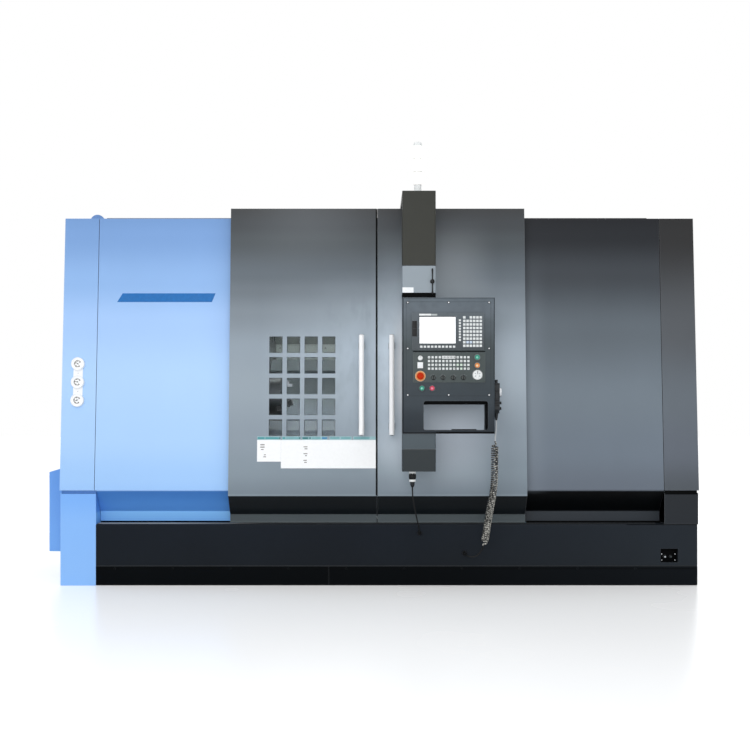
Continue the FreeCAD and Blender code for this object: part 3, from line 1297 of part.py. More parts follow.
def rounded_route(points):
    """Straight runs joined by tangent arcs, each as large as its two runs allow."""
    edges = []
    radii = []
    at = points[0]
    for before, corner, after in zip(points, points[1:], points[2:]):
        into = unit_vector(corner - before)
        out = unit_vector(after - corner)
        turn = into.getAngle(out)
        shorter = min((corner - before).Length, (after - corner).Length)
        cut_back = MAX_RUN_FACTOR * shorter
        radii.append(cut_back / math.tan(turn / 2))
        start = corner - into * cut_back
        end = corner + out * cut_back
        to_centre = unit_vector(out - into)
        middle = corner + to_centre * (radii[-1] / math.cos(turn / 2) - radii[-1])
        edges.append(Part.LineSegment(at, start).toShape())
        edges.append(Part.Arc(start, middle, end).toShape())
        at = end
    edges.append(Part.LineSegment(at, points[-1]).toShape())
    return edges, radii


def arc_from(start, tangent, end):
    """The arc that leaves start along tangent and ends at end."""
    chord = end - start
    along = unit_vector(chord)
    aside = tangent - along * tangent.dot(along)
    if aside.Length < 1e-6:
        return Part.LineSegment(start, end).toShape()
    angle = tangent.getAngle(chord)
    middle = (start + end) * 0.5 + unit_vector(aside) * (chord.Length / 2 * math.tan(angle / 2))
    return Part.Arc(start, middle, end).toShape()


def biarc(start, tangent, end, end_tangent):
    """Two arcs from start to end that meet both tangents."""
    chord = end - start
    both = tangent + end_tangent
    spread = 2.0 * (1.0 - tangent.dot(end_tangent))
    reach = chord.dot(both)
    if spread < 1e-9:
        share = chord.Length ** 2 / (2.0 * reach)
    else:
        share = (math.sqrt(reach * reach + spread * chord.Length ** 2) - reach) / spread
    joint = (start + end + (tangent - end_tangent) * share) * 0.5
    first = arc_from(start, tangent, joint)
    back_arc = arc_from(end, end_tangent * -1.0, joint)
    second = Part.Arc(joint, back_arc.valueAt((back_arc.FirstParameter + back_arc.LastParameter) / 2), end)
    return [first, second.toShape()]


def coil_axis(t):
    """The sagging line that the curls wind round, t from 0 to 1."""
    a = 2 * t ** 3 - 3 * t ** 2 + 1
    b = t ** 3 - 2 * t ** 2 + t
    c = -2 * t ** 3 + 3 * t ** 2
    d = t ** 3 - t ** 2
    top = unit_exit() + CURL_TOP
    end = CORD_GLAND + CURL_END
    return top * a + CURL_PULL * (b * 3) + end * c + CURL_END_PULL * (d * 3)


def coil_point(t):
    """A point of the curled cord. The curls grow from nothing over the first and last turn."""
    step = 1e-4
    along = unit_vector(coil_axis(t + step) - coil_axis(t - step))
    side = unit_vector(V(1, 0, 0) - along * along.x)
    other = along.cross(side)
    turn = 2 * math.pi * CURLS * t
    ease = min(1.0, min(t, 1 - t) * CURLS)
    radius = (CURL_OUTER - CORD_DIAMETER) / 2 * ease * ease * (3 - 2 * ease)
    return coil_axis(t) + side * (radius * math.cos(turn)) + other * (radius * math.sin(turn))


def coil_tangent(t):
    step = 1e-5
    return unit_vector(coil_point(t + step) - coil_point(t - step))


def tube(edges, diameter, sides):
    """A tube with flat sides along a smooth path."""
    path = Part.Wire(edges)
    start = edges[0].valueAt(edges[0].FirstParameter)
    along = unit_vector(edges[0].tangentAt(edges[0].FirstParameter))
    side = unit_vector(V(1, 0, 0) - along * along.x)
    other = along.cross(side)
    corners = []
    for corner in range(sides):
        angle = 2 * math.pi * corner / sides
        corners.append(start + (side * math.cos(angle) + other * math.sin(angle)) * (diameter / 2))
    profile = Part.makePolygon(corners + [corners[0]])
    return path.makePipeShell([profile], True, False), path


def report_tube(name, solid, path, diameter, sides):
    section = sides / 2 * (diameter / 2) ** 2 * math.sin(2 * math.pi / sides)
    print(name, "length", round(path.Length, 1), "volume / section x length",
          round(solid.Volume / (section * path.Length), 4), "valid", solid.isValid())


def make_lead():
    """Lead from the tail box's connector to its gland on the base."""
    top = V(CONNECTOR_X, ARM_Y, BOX_TOP - BOX_HEIGHT - TAIL_BOX_HEIGHT - CONNECTOR_LENGTH)
    end = LEAD_GLAND + V(0, -GLAND_LENGTH, 0)
    points = [
        top, top + V(0, 0, -CORD_END_RUN), top + V(6, 7, -88), top + V(15, 24, -132),
        top + V(25, 51, -176), top + V(35, 87, -218), end + V(-6, -90, 34), end + V(0, -46, 0), end]
    edges, radii = rounded_route(points)
    print("lead radii", [round(r) for r in radii])
    solid, path = tube(edges, LEAD_DIAMETER, LEAD_SIDES)
    report_tube("connector_lead", solid, path, LEAD_DIAMETER, LEAD_SIDES)
    save("connector_lead", solid)


def least_gap(points, diameter, skip):
    """Least space between two stretches of the cord that are at least skip points apart."""
    least = 1e9
    for i, a in enumerate(points):
        for b in points[i + skip:]:
            least = min(least, (a - b).Length)
    return least - diameter


def make_cord():
    """The hand wheel's cord: a plain stretch, the curls, and a plain tail into its gland."""
    start = unit_exit()
    head = [start, start + V(0, 0, -CORD_END_RUN), start + V(-4.5, 2, -88), start + V(-8.5, 2, -132)]
    entry = coil_point(0.0)
    entry_along = coil_tangent(1e-4)
    edges, radii = rounded_route(head + [entry - entry_along * COIL_END_RUN, entry])
    steps = CURLS * 2
    for index in range(steps):
        t0, t1 = index / steps, (index + 1) / steps
        first = coil_tangent(max(t0, 1e-4))
        last = coil_tangent(min(t1, 1 - 1e-4))
        edges += biarc(coil_point(t0), first, coil_point(t1), last)
    leave = coil_point(1.0)
    leave_along = coil_tangent(1 - 1e-4)
    end = CORD_GLAND + V(0, -GLAND_LENGTH, 0)
    tail = [
        leave, leave + leave_along * COIL_END_RUN, end + V(87, -64, 11), end + V(59, -66, -11),
        end + V(30, -64, -13), end + V(8, -50, -6), end + V(0, -26, 0), end]
    tail_edges, tail_radii = rounded_route(tail)
    edges += tail_edges
    print("cord radii", [round(r) for r in radii + tail_radii])
    per_curl = 16
    samples = [coil_point(i / (per_curl * CURLS)) for i in range(per_curl * CURLS + 1)]
    print("cord least gap", round(least_gap(samples, CORD_DIAMETER, per_curl * 3 // 4), 1))
    solid, path = tube(edges, CORD_DIAMETER, CORD_SIDES)
    report_tube("wheel_cord", solid, path, CORD_DIAMETER, CORD_SIDES)
    save("wheel_cord", solid)


make_base()
make_column_covers()
make_front_panels()
make_end_covers()
make_roof()
make_side_cover()
make_gauges()
make_doors()
make_cabinet()
make_bed()
make_headstock()
make_chuck()
make_saddle()
make_turret()
make_tailstock()
make_arm()
make_tower()
make_control_box()
make_display()
make_operator_panel()
make_tail_box()
make_wheel_unit()
make_fittings()
make_lead()
make_cord()
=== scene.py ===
from math import cos, pi, radians, sin, tan

import bmesh
import bpy
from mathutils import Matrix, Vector


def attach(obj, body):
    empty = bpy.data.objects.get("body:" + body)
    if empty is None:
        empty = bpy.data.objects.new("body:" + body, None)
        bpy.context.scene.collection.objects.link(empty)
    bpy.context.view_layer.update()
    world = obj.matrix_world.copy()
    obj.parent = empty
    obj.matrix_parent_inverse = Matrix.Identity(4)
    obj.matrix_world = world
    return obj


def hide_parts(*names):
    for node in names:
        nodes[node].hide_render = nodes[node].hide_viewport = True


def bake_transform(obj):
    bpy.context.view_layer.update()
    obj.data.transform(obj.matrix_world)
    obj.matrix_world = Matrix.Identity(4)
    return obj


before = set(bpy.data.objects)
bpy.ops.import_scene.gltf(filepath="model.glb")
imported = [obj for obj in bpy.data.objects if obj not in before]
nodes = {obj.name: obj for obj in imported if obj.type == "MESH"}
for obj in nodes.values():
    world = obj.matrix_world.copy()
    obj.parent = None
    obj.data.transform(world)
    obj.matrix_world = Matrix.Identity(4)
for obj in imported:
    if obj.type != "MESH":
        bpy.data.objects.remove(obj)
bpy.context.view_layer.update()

# Lengths are millimetres in the CAD frame, but metres inside materials; MM turns one into the other.
MM = 0.001
LEAN = radians(5)
OUT = Vector((0, -cos(LEAN), sin(LEAN)))  # square to the leaning panels
UP = Vector((0, sin(LEAN), cos(LEAN)))  # up along them
RIGHT, LEFT = Vector((1, 0, 0)), Vector((-1, 0, 0))
FRONT, BACK = Vector((0, -1, 0)), Vector((0, 1, 0))
TOP, BOTTOM = Vector((0, 0, 1)), Vector((0, 0, -1))
PANEL_FRONT, PANEL_EDGE = -1000, 575  # y and height of the panels' lower edge
DOOR_FRONT, DOOR_EDGE = -1070, 548  # the same of the doors
ARM_Y = -1250  # middle of the pendant's arm
CABINET_BACK = 985.5


def on_panel(x, z):
    return Vector((x, PANEL_FRONT + (z - PANEL_EDGE) * tan(LEAN), z))


def on_door(x, z):
    return Vector((x, DOOR_FRONT + (z - DOOR_EDGE) * tan(LEAN), z))


def pairs(text):
    """The words of a text two by two."""
    words = text.split()
    return list(zip(words[::2], words[1::2]))


def rows(text):
    """The rows of numbers in a text, parted by commas."""
    return [tuple(map(float, row.split())) for row in text.split(",")]


def ring(count, radius=1, start=0, turn=2 * pi):
    """Even steps round a circle, or round a part of it, as (across, up) pairs."""
    angles = [start + turn * i / count for i in range(count)]
    return [(radius * cos(a), radius * sin(a)) for a in angles]


def new_object(name, data):
    obj = bpy.data.objects.new(name, data)
    bpy.context.scene.collection.objects.link(obj)
    return obj


# ---- materials
M = {}  # every material by its name


def srgb(code):
    """An rrggbb colour as it shows on screen, in the shader's linear numbers."""
    out = []
    for at in (0, 2, 4):
        c = int(code[at:at + 2], 16) / 255
        out.append(c / 12.92 if c <= 0.04045 else ((c + 0.055) / 1.055) ** 2.4)
    return (*out, 1)


class Nodes:
    """Short calls that build a node tree."""

    def __init__(self, tree):
        self.tree = tree
        tree.nodes.clear()

    def put(self, socket, value):
        """Give a socket a number or a colour, or link another node's output to it."""
        if isinstance(value, (int, float, tuple)):
            socket.default_value = value
        else:
            self.tree.links.new(value, socket)

    def node(self, kind, inputs=None, **settings):
        node = self.tree.nodes.new("ShaderNode" + kind)
        for name, value in settings.items():
            setattr(node, name, value)
        for socket, value in (inputs or {}).items():
            self.put(node.inputs[socket], value)
        return node

    def maths(self, how, *values):
        """The values joined one after another, such as added."""
        total = values[0]
        for value in values[1:]:
            total = self.node("Math", {0: total, 1: value}, operation=how).outputs[0]
        return total

    def times(self, *values):
        return self.maths("MULTIPLY", *values)

    def ranged(self, value, a, b, c, d, **settings):
        """The range a to b of value, turned into c to d."""
        return self.node("MapRange", {0: value, 1: a, 2: b, 3: c, 4: d}, **settings).outputs[0]

    def within(self, value, low, high, soft=0.0008):
        """1 where value lies between low and high, metres, and 0 outside."""
        return self.times(self.ranged(value, low - soft, low + soft, 0, 1),
            self.ranged(value, high - soft, high + soft, 1, 0))

    def mixed(self, factor, a, b, blend="MIX"):
        return self.node("Mix", {0: factor, 6: a, 7: b}, data_type="RGBA", blend_type=blend).outputs[2]

    def over(self, colour, tone, factor):
        return self.mixed(factor, colour, srgb(tone))


class Look(Nodes):
    """A procedural material on object coordinates."""

    def __init__(self, name):
        M[name] = bpy.data.materials.new(name)
        M[name].use_nodes = True
        super().__init__(M[name].node_tree)
        self.shader = self.node("BsdfPrincipled")
        self.node("OutputMaterial", {0: self.shader.outputs[0]})
        self.coords = self.node("TexCoord").outputs["Object"]

    def shade(self, values):
        for socket, value in values.items():
            self.put(self.shader.inputs[socket], value)

    def split(self, vector=None):
        return self.node("SeparateXYZ", {0: vector or self.coords}).outputs

    def noise(self, scale, detail=3, stretch=None):
        source = self.coords
        if stretch:
            source = self.node("Mapping", {"Vector": source, "Scale": stretch}).outputs[0]
        return self.node("TexNoise", {"Vector": source, "Scale": scale, "Detail": detail}).outputs[0]

    def finish(self, grain, depth, rough, spread, stretch=None):
        """Fine bump and uneven roughness."""
        fine = self.noise(grain, 2, stretch)
        bump = self.node("Bump", {"Strength": depth, "Distance": 0.001, "Height": fine})
        patch = self.ranged(self.noise(grain * 0.03, 4), 0.3, 0.7, rough - spread, rough + spread)
        self.shade({"Normal": bump.outputs[0], "Roughness": patch})


def drifting(look, stops):
    """A tone that changes with height, from (height, tone) pairs."""
    low, high = stops[0][0], stops[-1][0]
    level = look.ranged(look.split()[2], low * MM, high * MM, 0, 1)
    node = look.node("ValToRGB", {0: level})
    node.color_ramp.interpolation = "EASE"
    elements = node.color_ramp.elements
    while len(elements) < len(stops):
        elements.new(0.5)
    for element, (height, _) in zip(elements, stops):
        element.position = (height - low) / (high - low)
    for element, (_, tone) in zip(elements, stops):
        element.color = srgb(tone)
    return node.outputs[0]


def paint(name, stops, rough=0.42, grain=900, depth=0.10, edge_wear_and_highlight=0.12, smudge=0.03, gloss=0.2, also=None):
    """Sprayed paint with faint smudges, and edges paled partly as wear and partly as a painted highlight.

    stops has heights and tones in turn; also(look, colour) adds what only this paint has."""
    look = Look(name)
    stops = [(float(height), tone) for height, tone in pairs(stops)]
    colour = drifting(look, stops) if len(stops) > 1 else srgb(stops[0][1])
    if also:
        colour = also(look, colour)
    if smudge:
        tone = look.ranged(look.noise(1.7, 5, (1, 1, 0.6)), 0.3, 0.7, 1 - smudge, 1 + smudge)
        grey = look.node("CombineColor", dict.fromkeys(range(3), tone)).outputs[0]
        colour = look.mixed(1, colour, grey, "MULTIPLY")
    # edges paled towards light grey: partly wear, partly a painted highlight
    if edge_wear_and_highlight:
        rounded = look.node("Bevel", {0: 0.004}, samples=4).outputs[0]
        flat = look.node("NewGeometry").outputs["Normal"]
        dot = look.node("VectorMath", {0: rounded, 1: flat}, operation="DOT_PRODUCT").outputs["Value"]
        colour = look.mixed(look.ranged(dot, 0.995, 0.90, 0, edge_wear_and_highlight), colour, (0.75, 0.78, 0.82, 1))
    look.shade({"Specular IOR Level": gloss, "Base Color": colour})
    look.finish(grain, depth, rough, 0.025)


def patched(look, tone, factor, grain, detail=3, stretch=None, low=0.4):
    """The tone with patches in which it is factor times as bright."""
    base = srgb(tone)
    other = tuple(c * factor for c in base[:3]) + (1,)
    patch = look.ranged(look.noise(grain, detail, stretch), low, 0.7, 0, 1)
    look.shade({"Base Color": look.mixed(patch, base, other)})


def plastic(name, tone, rough=0.4, depth=0.05, clear=0, glow=0, gloss=None):
    look = Look(name)
    brightest = max(int(tone[at:at + 2], 16) for at in (0, 2, 4))
    patched(look, tone, 0.97 if brightest > 200 else 1.12, 60)
    if gloss is None:
        gloss = 0.2 if brightest < 90 else 0.35
    look.shade({"Specular IOR Level": gloss, "Transmission Weight": clear})
    if glow:
        look.shade({"Emission Color": srgb(tone), "Emission Strength": glow})
    look.finish(700, depth, rough, 0.05)


def metal(name, tone, rough=0.25, stretch=(1, 1, 1), depth=0.08, grain=300, metallic=1):
    look = Look(name)
    patched(look, tone, 0.86, grain * 0.4, 3, stretch, 0.35)
    look.shade({"Metallic": metallic})
    look.finish(grain, depth, rough, 0.05, stretch)


def curl_skin(name):
    """Black rubber under a pale clinging film that covers more of the cord lower down, and more on the side
    that faces right as painted light; the pale flecks stand partly for highlights on the curls.
    """
    look = Look(name)
    cover = look.ranged(look.split()[2], 0.25, 0.86, 0.06, -0.05)
    facing = look.split(look.node("NewGeometry").outputs["Normal"])[0]
    # painted light: the side that faces right gets more of the pale film
    lit = look.ranged(facing, -0.8, 0.8, -0.07, 0.07)
    film = look.ranged(look.maths("ADD", look.noise(95, 4), cover, lit), 0.46, 0.54, 0, 1)
    fleck = look.ranged(look.noise(160, 2), 0.42, 0.62, 0, 1)
    pale = look.mixed(fleck, srgb("686966"), srgb("dedbd2"))
    look.shade({"Base Color": look.mixed(film, srgb("1e1f1f"), pale)})
    look.finish(300, 0.3, 0.4, 0.08)


def clear_glass(name):
    """Thin laminated safety glass: mostly clear, with a cool tint and soft reflections."""
    look = Look(name)
    rough = look.ranged(look.noise(9, 5), 0.2, 0.8, 0.004, 0.012)
    look.shade({"Base Color": (0.86, 0.9, 0.92, 1), "IOR": 1.1, "Transmission Weight": 1, "Roughness": rough})


def to_right(tone, x0, x1, share=1):
    """Another tone that takes over, up to share, from x0 to x1."""
    def also(look, colour):
        return look.over(colour, tone, look.ranged(look.split()[0], x0, x1, 0, share))
    return also


def soft_spots(look, colour, *spots):
    """Soft ovals of painted light: middle x and z, reach to each side, tone and strength."""
    across, _, up = look.split()
    for x, z, wide, high, tone, strength in spots:
        sides = ((across, x, wide), (across, x, -wide), (up, z, high), (up, z, -high))
        fades = [look.ranged(value, middle, middle + reach, 1, 0, interpolation_type="SMOOTHSTEP")
            for value, middle, reach in sides]
        above_edge = look.ranged(up, 0.5495, 0.5765, 0, 1)
        colour = look.over(colour, tone, look.times(*fades, above_edge, strength))
    return colour


# Pale spots of painted light on the doors where the box, the arm and the pendant cast shadows, and a paler spot
# at the top of the left door.
DOOR_LIGHT_SPOTS = ((0.12, 1.36, 0.17, 0.36, "dce8f2", 0.86), (0.13, 1.30, 0.22, 0.94, "c2cfdb", 0.66),
    (0.145, 1.29, 0.085, 0.46, "ffffff", 0.72), (0.72, 1.31, 0.33, 0.40, "ccd9e4", 0.55),
    (0.42, 0.98, 0.38, 0.46, "dee8f4", 0.66), (0.12, 0.84, 0.26, 0.22, "d6e2ec", 0.46),
    (0.40, 1.86, 0.34, 0.44, "c4ccd2", 0.36))
DOOR_TOP_LIGHT_SPOT = (-0.42, 2.25, 0.50, 0.42, "969da3", 0.16)
PANEL_LIGHT_SPOT = (0.90, 1.12, 0.16, 1.05, "96a0aa", 0.36)


def lit_middle(look, colour):
    """The doors are paler about their meeting edges as painted light, with pale spots of painted light where
    shadows fell on them.
    """
    x, _, z = look.split()
    level = look.times(look.ranged(x, -0.72, 0.02, 0, 1), look.ranged(x, 0.1, 1.05, 1, 0.25),
        look.ranged(z, 0.72, 1.42, 0, 1), look.ranged(z, 1.42, 1.92, 1, 0),
        look.ranged(look.noise(5, 4), 0.25, 0.75, 0.55, 0.85))
    colour = soft_spots(look, look.over(colour, "c0ceda", level), *DOOR_LIGHT_SPOTS)
    rubbed = look.times(look.ranged(look.noise(11, 5, (1.4, 1, 0.7)), 0.5, 0.68, 0, 0.16),
        look.within(x, -0.34, 0.12, 0.2), look.within(z, 0.95, 1.85, 0.25))
    return soft_spots(look, look.over(colour, "606a74", rubbed), DOOR_TOP_LIGHT_SPOT)


def lit_edge(look, colour):
    """The dark panel is paler beside the door: a strip of painted light."""
    return soft_spots(look, colour, PANEL_LIGHT_SPOT)


def dark_passage(look, colour):
    """The box has faint dark blotches, and the passage through it is painted near black as its shade."""
    x, _, z = look.split()
    facing = look.split(look.node("NewGeometry").outputs["Normal"])[1]
    inside = look.times(look.within(x, 0.2545, 0.6285), look.within(z, 0.944, 1.1155),
        look.within(facing, -0.5, 0.5, 0.1))
    blotch = look.ranged(look.noise(16, 5), 0.42, 0.66, 0, 0.17)
    return look.over(look.over(colour, "0c0e10", inside), "2c3034", blotch)


def pale_inside(look, colour):
    """The sheets have a pale coat on the side that faces the work."""
    _, y, z = look.split()
    inner = look.times(look.ranged(y, 0.5975, 0.5985, 1, 0), look.ranged(z, 2.2405, 2.2415, 1, 0))
    return look.over(colour, "a8b0b0", inner)


def paler_right_lit_ledge(look, colour):
    """The base grows paler towards the right, and the top of its ledge is painted pale as a painted highlight.
    """
    _, y, z = look.split()
    # the ledge's top: painted highlight
    inner = look.times(look.ranged(z, 0.364, 0.366, 0, 1), look.ranged(y, -0.862, -0.858, 0, 1))
    return look.over(to_right("2e343a", 0.2, 1.9, 0.5)(look, colour), "ced4d8", inner)


def bright_bar(look, colour):
    """Only the handle's bar is bright: its feet and their plates have the door's paint."""
    x = look.split()[0]
    bars = look.maths("ADD", look.within(x, -0.1235, -0.0905), look.within(x, 0.0585, 0.0915))
    return look.mixed(bars, srgb("808a93"), colour)


PLASTICS = (  # roughness, other settings, then names and tones in turn
    (0.35, {}, "black_plastic 141517"),
    (0.4, {}, "white_plastic eceeee yellow_plastic e08e4c ring_light f6dab2 dial_grey b0b6b6"),
    (0.45, {}, "dark_plastic 2c2f32 knob_face 525756 key_plastic dee2e2 blue_key_plastic ccd9ea "
    "green_key_plastic ceded0"),
    (0.5, {}, "label_teal 94b8be label_mid 70a4aa label_blue 387ea8 label_ink 469298 label_deep 287074 "
    "label_white f0f3f6 label_sheet fdfeff stripe_blue 0868b0 gap_blue 4270b4 ink 3c4248 "
    "gauge_ink 706c68"),
    (0.5, {"depth": 0.2}, "rubber 18191a window_seal 4a5257 grey_sleeve c4c8ca"),
    (0.5, {"gloss": 0.1}, "red_plastic ba2c06"),
    (0.25, {}, "green_light 78c4b0 orange_light eed0a4 red_light e27a92"),
    (0.25, {"glow": 0.03}, "red_lamp c03e56 green_plastic 2c8a74 orange_plastic dc8642"),
    (0.2, {"clear": 0.3, "glow": 0.3}, "lens_green f6faf6 lens_yellow fcfbf0"),
    (0.2, {"clear": 0.3, "glow": 0.25}, "lens_red faf6f4"),
    (0.12, {"depth": 0, "glow": 0.5}, "screen_glass fafcfe"),
    (0.3, {"glow": 26}, "lamp_tube fffdf6"))
GREASY = {"rough": 0.6, "gloss": 0.05}
CAST = {"grain": 500, "depth": 0.2}
MOULDED = {"grain": 700, "depth": 0.15, "edge_wear_and_highlight": 0.1}


def make_materials():
    # Painted light and shade in the blue: the lower strip (370–436) is painted paler against the shade it lies
    # in, the undercut (446–570) is painted dark as its shade, and the panel is paler at mid height and darker
    # towards the top as painted light.
    paint("blue_paint", "370 7cbcff 436 84c4ff 446 64a6f6 570 4884d0 577 a0cafc 640 a4cdfc 900 afd4fe "
        "1250 b3d6fe 1600 a8cbf9 1850 91b8ea 2130 7ca3d8 2250 769dd2", smudge=0.02, gloss=0.25)
    # The column's blue darkens upward, under the panels' overhang: painted shade.
    paint("blue_column", "0 92c4ff 350 8ec1ff 560 80b7fc", gloss=0.25,
        also=to_right("1e2329", -0.01, 0.01))
    # The side cover takes the panels' blue painted darker for the shade it lies in: painted shade.
    paint("blue_side", "170 80b6f4 715 72a8ec", gloss=0.25)
    # Painted light and shade in the doors' tone: the undercut (431–545) is painted near black as its shade, a
    # painted highlight line at 549 runs along its bend, and the doors are paler at mid height and darker
    # towards the top as painted light.
    paint("door_paint", "378 606a6e 388 485155 425 424b4f 431 12171b 545 0f1418 549 8a98a2 556 78848e "
        "700 85929c 900 8c98a3 1200 96a2ac 1430 939faa 1650 818b94 1790 6e777f 1880 636c74 2100 4d5357 "
        "2190 44484c 2294 3f4143", smudge=0.035, rough=0.38, also=lit_middle)
    # Painted light and shade in the dark panel's tone: the undercut (446–572) is painted near black as its
    # shade, and the panel is paler at mid height and darker towards the top as painted light.
    paint("dark_paint", "370 363c43 436 343a41 446 040608 572 030406 578 68717d 820 717c88 1150 75808a "
        "1550 636c74 1900 40454b 2130 24272c 2250 1f2126", also=lit_edge, smudge=0.05)
    # The end cover's tone drifts with height as painted light, darker towards the top and the bottom; the rear
    # sheets darken towards the top in the same way.
    paint("dark_end_paint", "370 282e33 570 545a61 820 646b75 1150 687078 1550 5a5e63 2130 2f2f30 2250 2c2c2d",
        smudge=0.05)
    paint("rear_paint", "370 545a61 820 646b75 1150 687078 1550 5a5e63 2130 353536 2250 323233",
        also=pale_inside)
    paint("base_paint", "0 12181e 370 111821", rough=0.55, smudge=0.12, edge_wear_and_highlight=0.05, gloss=0.12, also=paler_right_lit_ledge)
    paint("kick_paint", "0 030609", smudge=0.12, edge_wear_and_highlight=0.05, also=to_right("191d22", 0.2, 1.9, 0.5), **GREASY)
    # near black that paints shadow lines and shaded gaps as painted shade, and also the doors' rubber seal
    paint("rubber_and_shadow_black", "0 040506", smudge=0.1, edge_wear_and_highlight=0, **GREASY)
    paint("box_paint", "925 1a232b 1000 222b33 1120 343d44 1400 40494c 1560 525b61 1640 5f6870 1713 5c666e",
        smudge=0.09, also=dark_passage, **CAST)
    paint("arm_paint", "1900 343530 2332 32332e", smudge=0.04, **CAST)
    paint("tail_paint", "705 2a3134 835 2b3235 837 4a545a 925 4c565c", **CAST)
    paint("housing_paint", "1741 929ca4 1900 929ca4")
    paint("cabinet_paint", "350 b0b4b4 2050 b8bcbc")
    # The bed's tones go in bands by height, painted to carry the light and shade seen through the windows:
    # painted light and shade.
    paint("bed_paint", "370 6e767a 860 f2f9ff 990 dae4f0 1040 c0ccd8 1130 bcc7ce 1190 949ea3 1300 8e979c "
        "1345 acb6bc 1419 b0bac0", rough=0.5, grain=160, depth=0.3, smudge=0.06)
    paint("splash_steel", "1400 f6fefc", rough=0.3, grain=300, gloss=0.6, smudge=0.05)
    paint("handle_steel", "0 fcfdfe", rough=0.3, grain=400, smudge=0.02, edge_wear_and_highlight=0, gloss=0.6, also=bright_bar)
    paint("rail_steel", "370 a0a4a8 2270 787c80", rough=0.4, grain=300, edge_wear_and_highlight=0, gloss=0.3,
        also=to_right("1e2226", -1.25, -0.7), smudge=0.05)
    paint("bezel_plastic", "1400 484e52 1640 5a6268", **MOULDED)
    paint("panel_plastic", "1 4a5252", **MOULDED)
    metal("cast_iron", "929ba0", 0.5, depth=0.35, grain=160, metallic=0.1)
    metal("chuck_steel", "7e8184", 0.34, (1, 6, 6))
    metal("ground_steel", "b2b4b8", 0.3, (1, 6, 6))
    metal("chrome", "e1e4e8", 0.12, depth=0.02)
    metal("collar_steel", "70787a", 0.42)
    metal("screw_steel", "cdd0d4", 0.3)
    clear_glass("window_glass")
    curl_skin("curl_skin")
    for rough, settings, tones in PLASTICS:
        for name, tone in pairs(tones):
            plastic(name, tone, rough, **settings)


DRESS = """base_paint 3 base_frame
kick_paint 1.5 kick_plates
blue_column 2.5 column_covers
blue_paint 1.6 left_front_panel left_end_cover
dark_paint 1.6 right_front_panel
dark_end_paint 1.6 right_end_cover
rear_paint 1.2 roof_panel rear_panel
cabinet_paint 1.2 electrical_cabinet cabinet_door
blue_side 1.5 motor_side_cover
rail_steel 1 door_tracks
arm_paint 1.5 pendant_arm
housing_paint 1.5 swivel_housing
door_paint 1.4 left_door right_door
handle_steel 1.2 left_door_handle right_door_handle
window_glass 0 door_window
bed_paint 0 slant_bed
cast_iron 0 headstock saddle cross_slide tailstock
ground_steel 0 end_guards spindle
chuck_steel 0 chuck_body
ground_steel 0.8 chuck_jaw_1 chuck_jaw_2 chuck_jaw_3 turret_disc
chrome 0 quill
box_paint 2 control_box
tail_paint 1.2 tail_box
dark_plastic 1.2 wheel_unit"""  # material, width of the soft edges, CAD nodes


def dress_nodes():
    """Materials for the CAD nodes that stay, and soft edges on those that are folded or cast."""
    for line in DRESS.splitlines():
        look, width, *names = line.split()
        for obj in (nodes[name] for name in names):
            obj.data.materials.clear()
            obj.data.materials.append(M[look])
            if float(width):
                weld = obj.modifiers.new("weld", "WELD")
                weld.merge_threshold = 2e-5
                flat = obj.modifiers.new("flat", "DECIMATE")
                flat.decimate_type = "DISSOLVE"
                flat.angle_limit = radians(0.6)
                edge = obj.modifiers.new("edge", "BEVEL")
                edge.width = float(width) * MM
                edge.segments = 2
                edge.limit_method = "ANGLE"
                edge.angle_limit = radians(32)
                even = obj.modifiers.new("even", "WEIGHTED_NORMAL")
                even.keep_sharp = True


# ---- camera, light and floor
def make_camera():
    """Square on from the operator's side, as the photo was taken."""
    cam = new_object("camera", bpy.data.cameras.new("camera"))
    cam.location = (-0.026, -8.5, 1.062)
    cam.rotation_euler = (radians(90), 0, 0)
    cam.data.lens = 59.5
    cam.data.sensor_width = 36
    cam.data.shift_y = 0.0467
    cam.data.clip_end = 100
    bpy.context.scene.camera = cam


def make_light():
    scene = bpy.context.scene
    scene.view_settings.view_transform = "Standard"
    scene.world = bpy.data.worlds.new("world")
    scene.world.use_nodes = True
    sky = Nodes(scene.world.node_tree)
    ray = sky.node("LightPath").outputs
    seen = sky.maths("MAXIMUM", ray["Is Camera Ray"], ray["Is Glossy Ray"], ray["Is Transmission Ray"])
    soft = sky.node("Background", {0: (0.97, 0.985, 1, 1), 1: 0.72}).outputs[0]
    white = sky.node("Background", {0: (1, 1, 1, 1)}).outputs[0]
    mix = sky.node("MixShader", {0: seen, 1: soft, 2: white}).outputs[0]
    sky.node("OutputWorld", {0: mix})
    for name, place, size, power in (("front_soft", (-1.5, -7, 3.4), 5, 120),
            ("low_soft", (0.5, -8, 0.9), 3, 50), ("back_soft", (2, 6.5, 4), 4, 120)):
        lamp = new_object(name, bpy.data.lights.new(name, "AREA"))
        lamp.data.size = size
        lamp.data.energy = power
        lamp.location = place
        lamp.rotation_mode = "QUATERNION"
        lamp.rotation_quaternion = (Vector((0, 0, 1.1)) - Vector(place)).to_track_quat("-Z", "Y")


def make_floor():
    mesh = bpy.data.meshes.new("floor")
    bm = bmesh.new()
    bmesh.ops.create_grid(bm, x_segments=1, y_segments=1, size=40)
    bm.to_mesh(mesh)
    bm.free()
    floor = new_object("floor", mesh)
    look = Look("floor")
    seen = look.node("LightPath").outputs["Is Camera Ray"]
    look.shade({"Base Color": (0.93, 0.935, 0.94, 1), "Specular IOR Level": 0.35,
        "Emission Color": (1, 1, 1, 1), "Emission Strength": look.ranged(seen, 0, 1, 0, 0.295),
        "Roughness": look.ranged(look.noise(0.7), 0.3, 0.7, 0.26, 0.28)})
    mesh.materials.append(M["floor"])


# ---- mesh building
BLACK, DARK, WHITE = "black_plastic", "dark_plastic", "white_plastic"  # the looks used most
# VOID is the near black that paints shadow lines and shaded gaps
VOID, LABEL, KEY = "rubber_and_shadow_black", "label_white", "key_plastic"


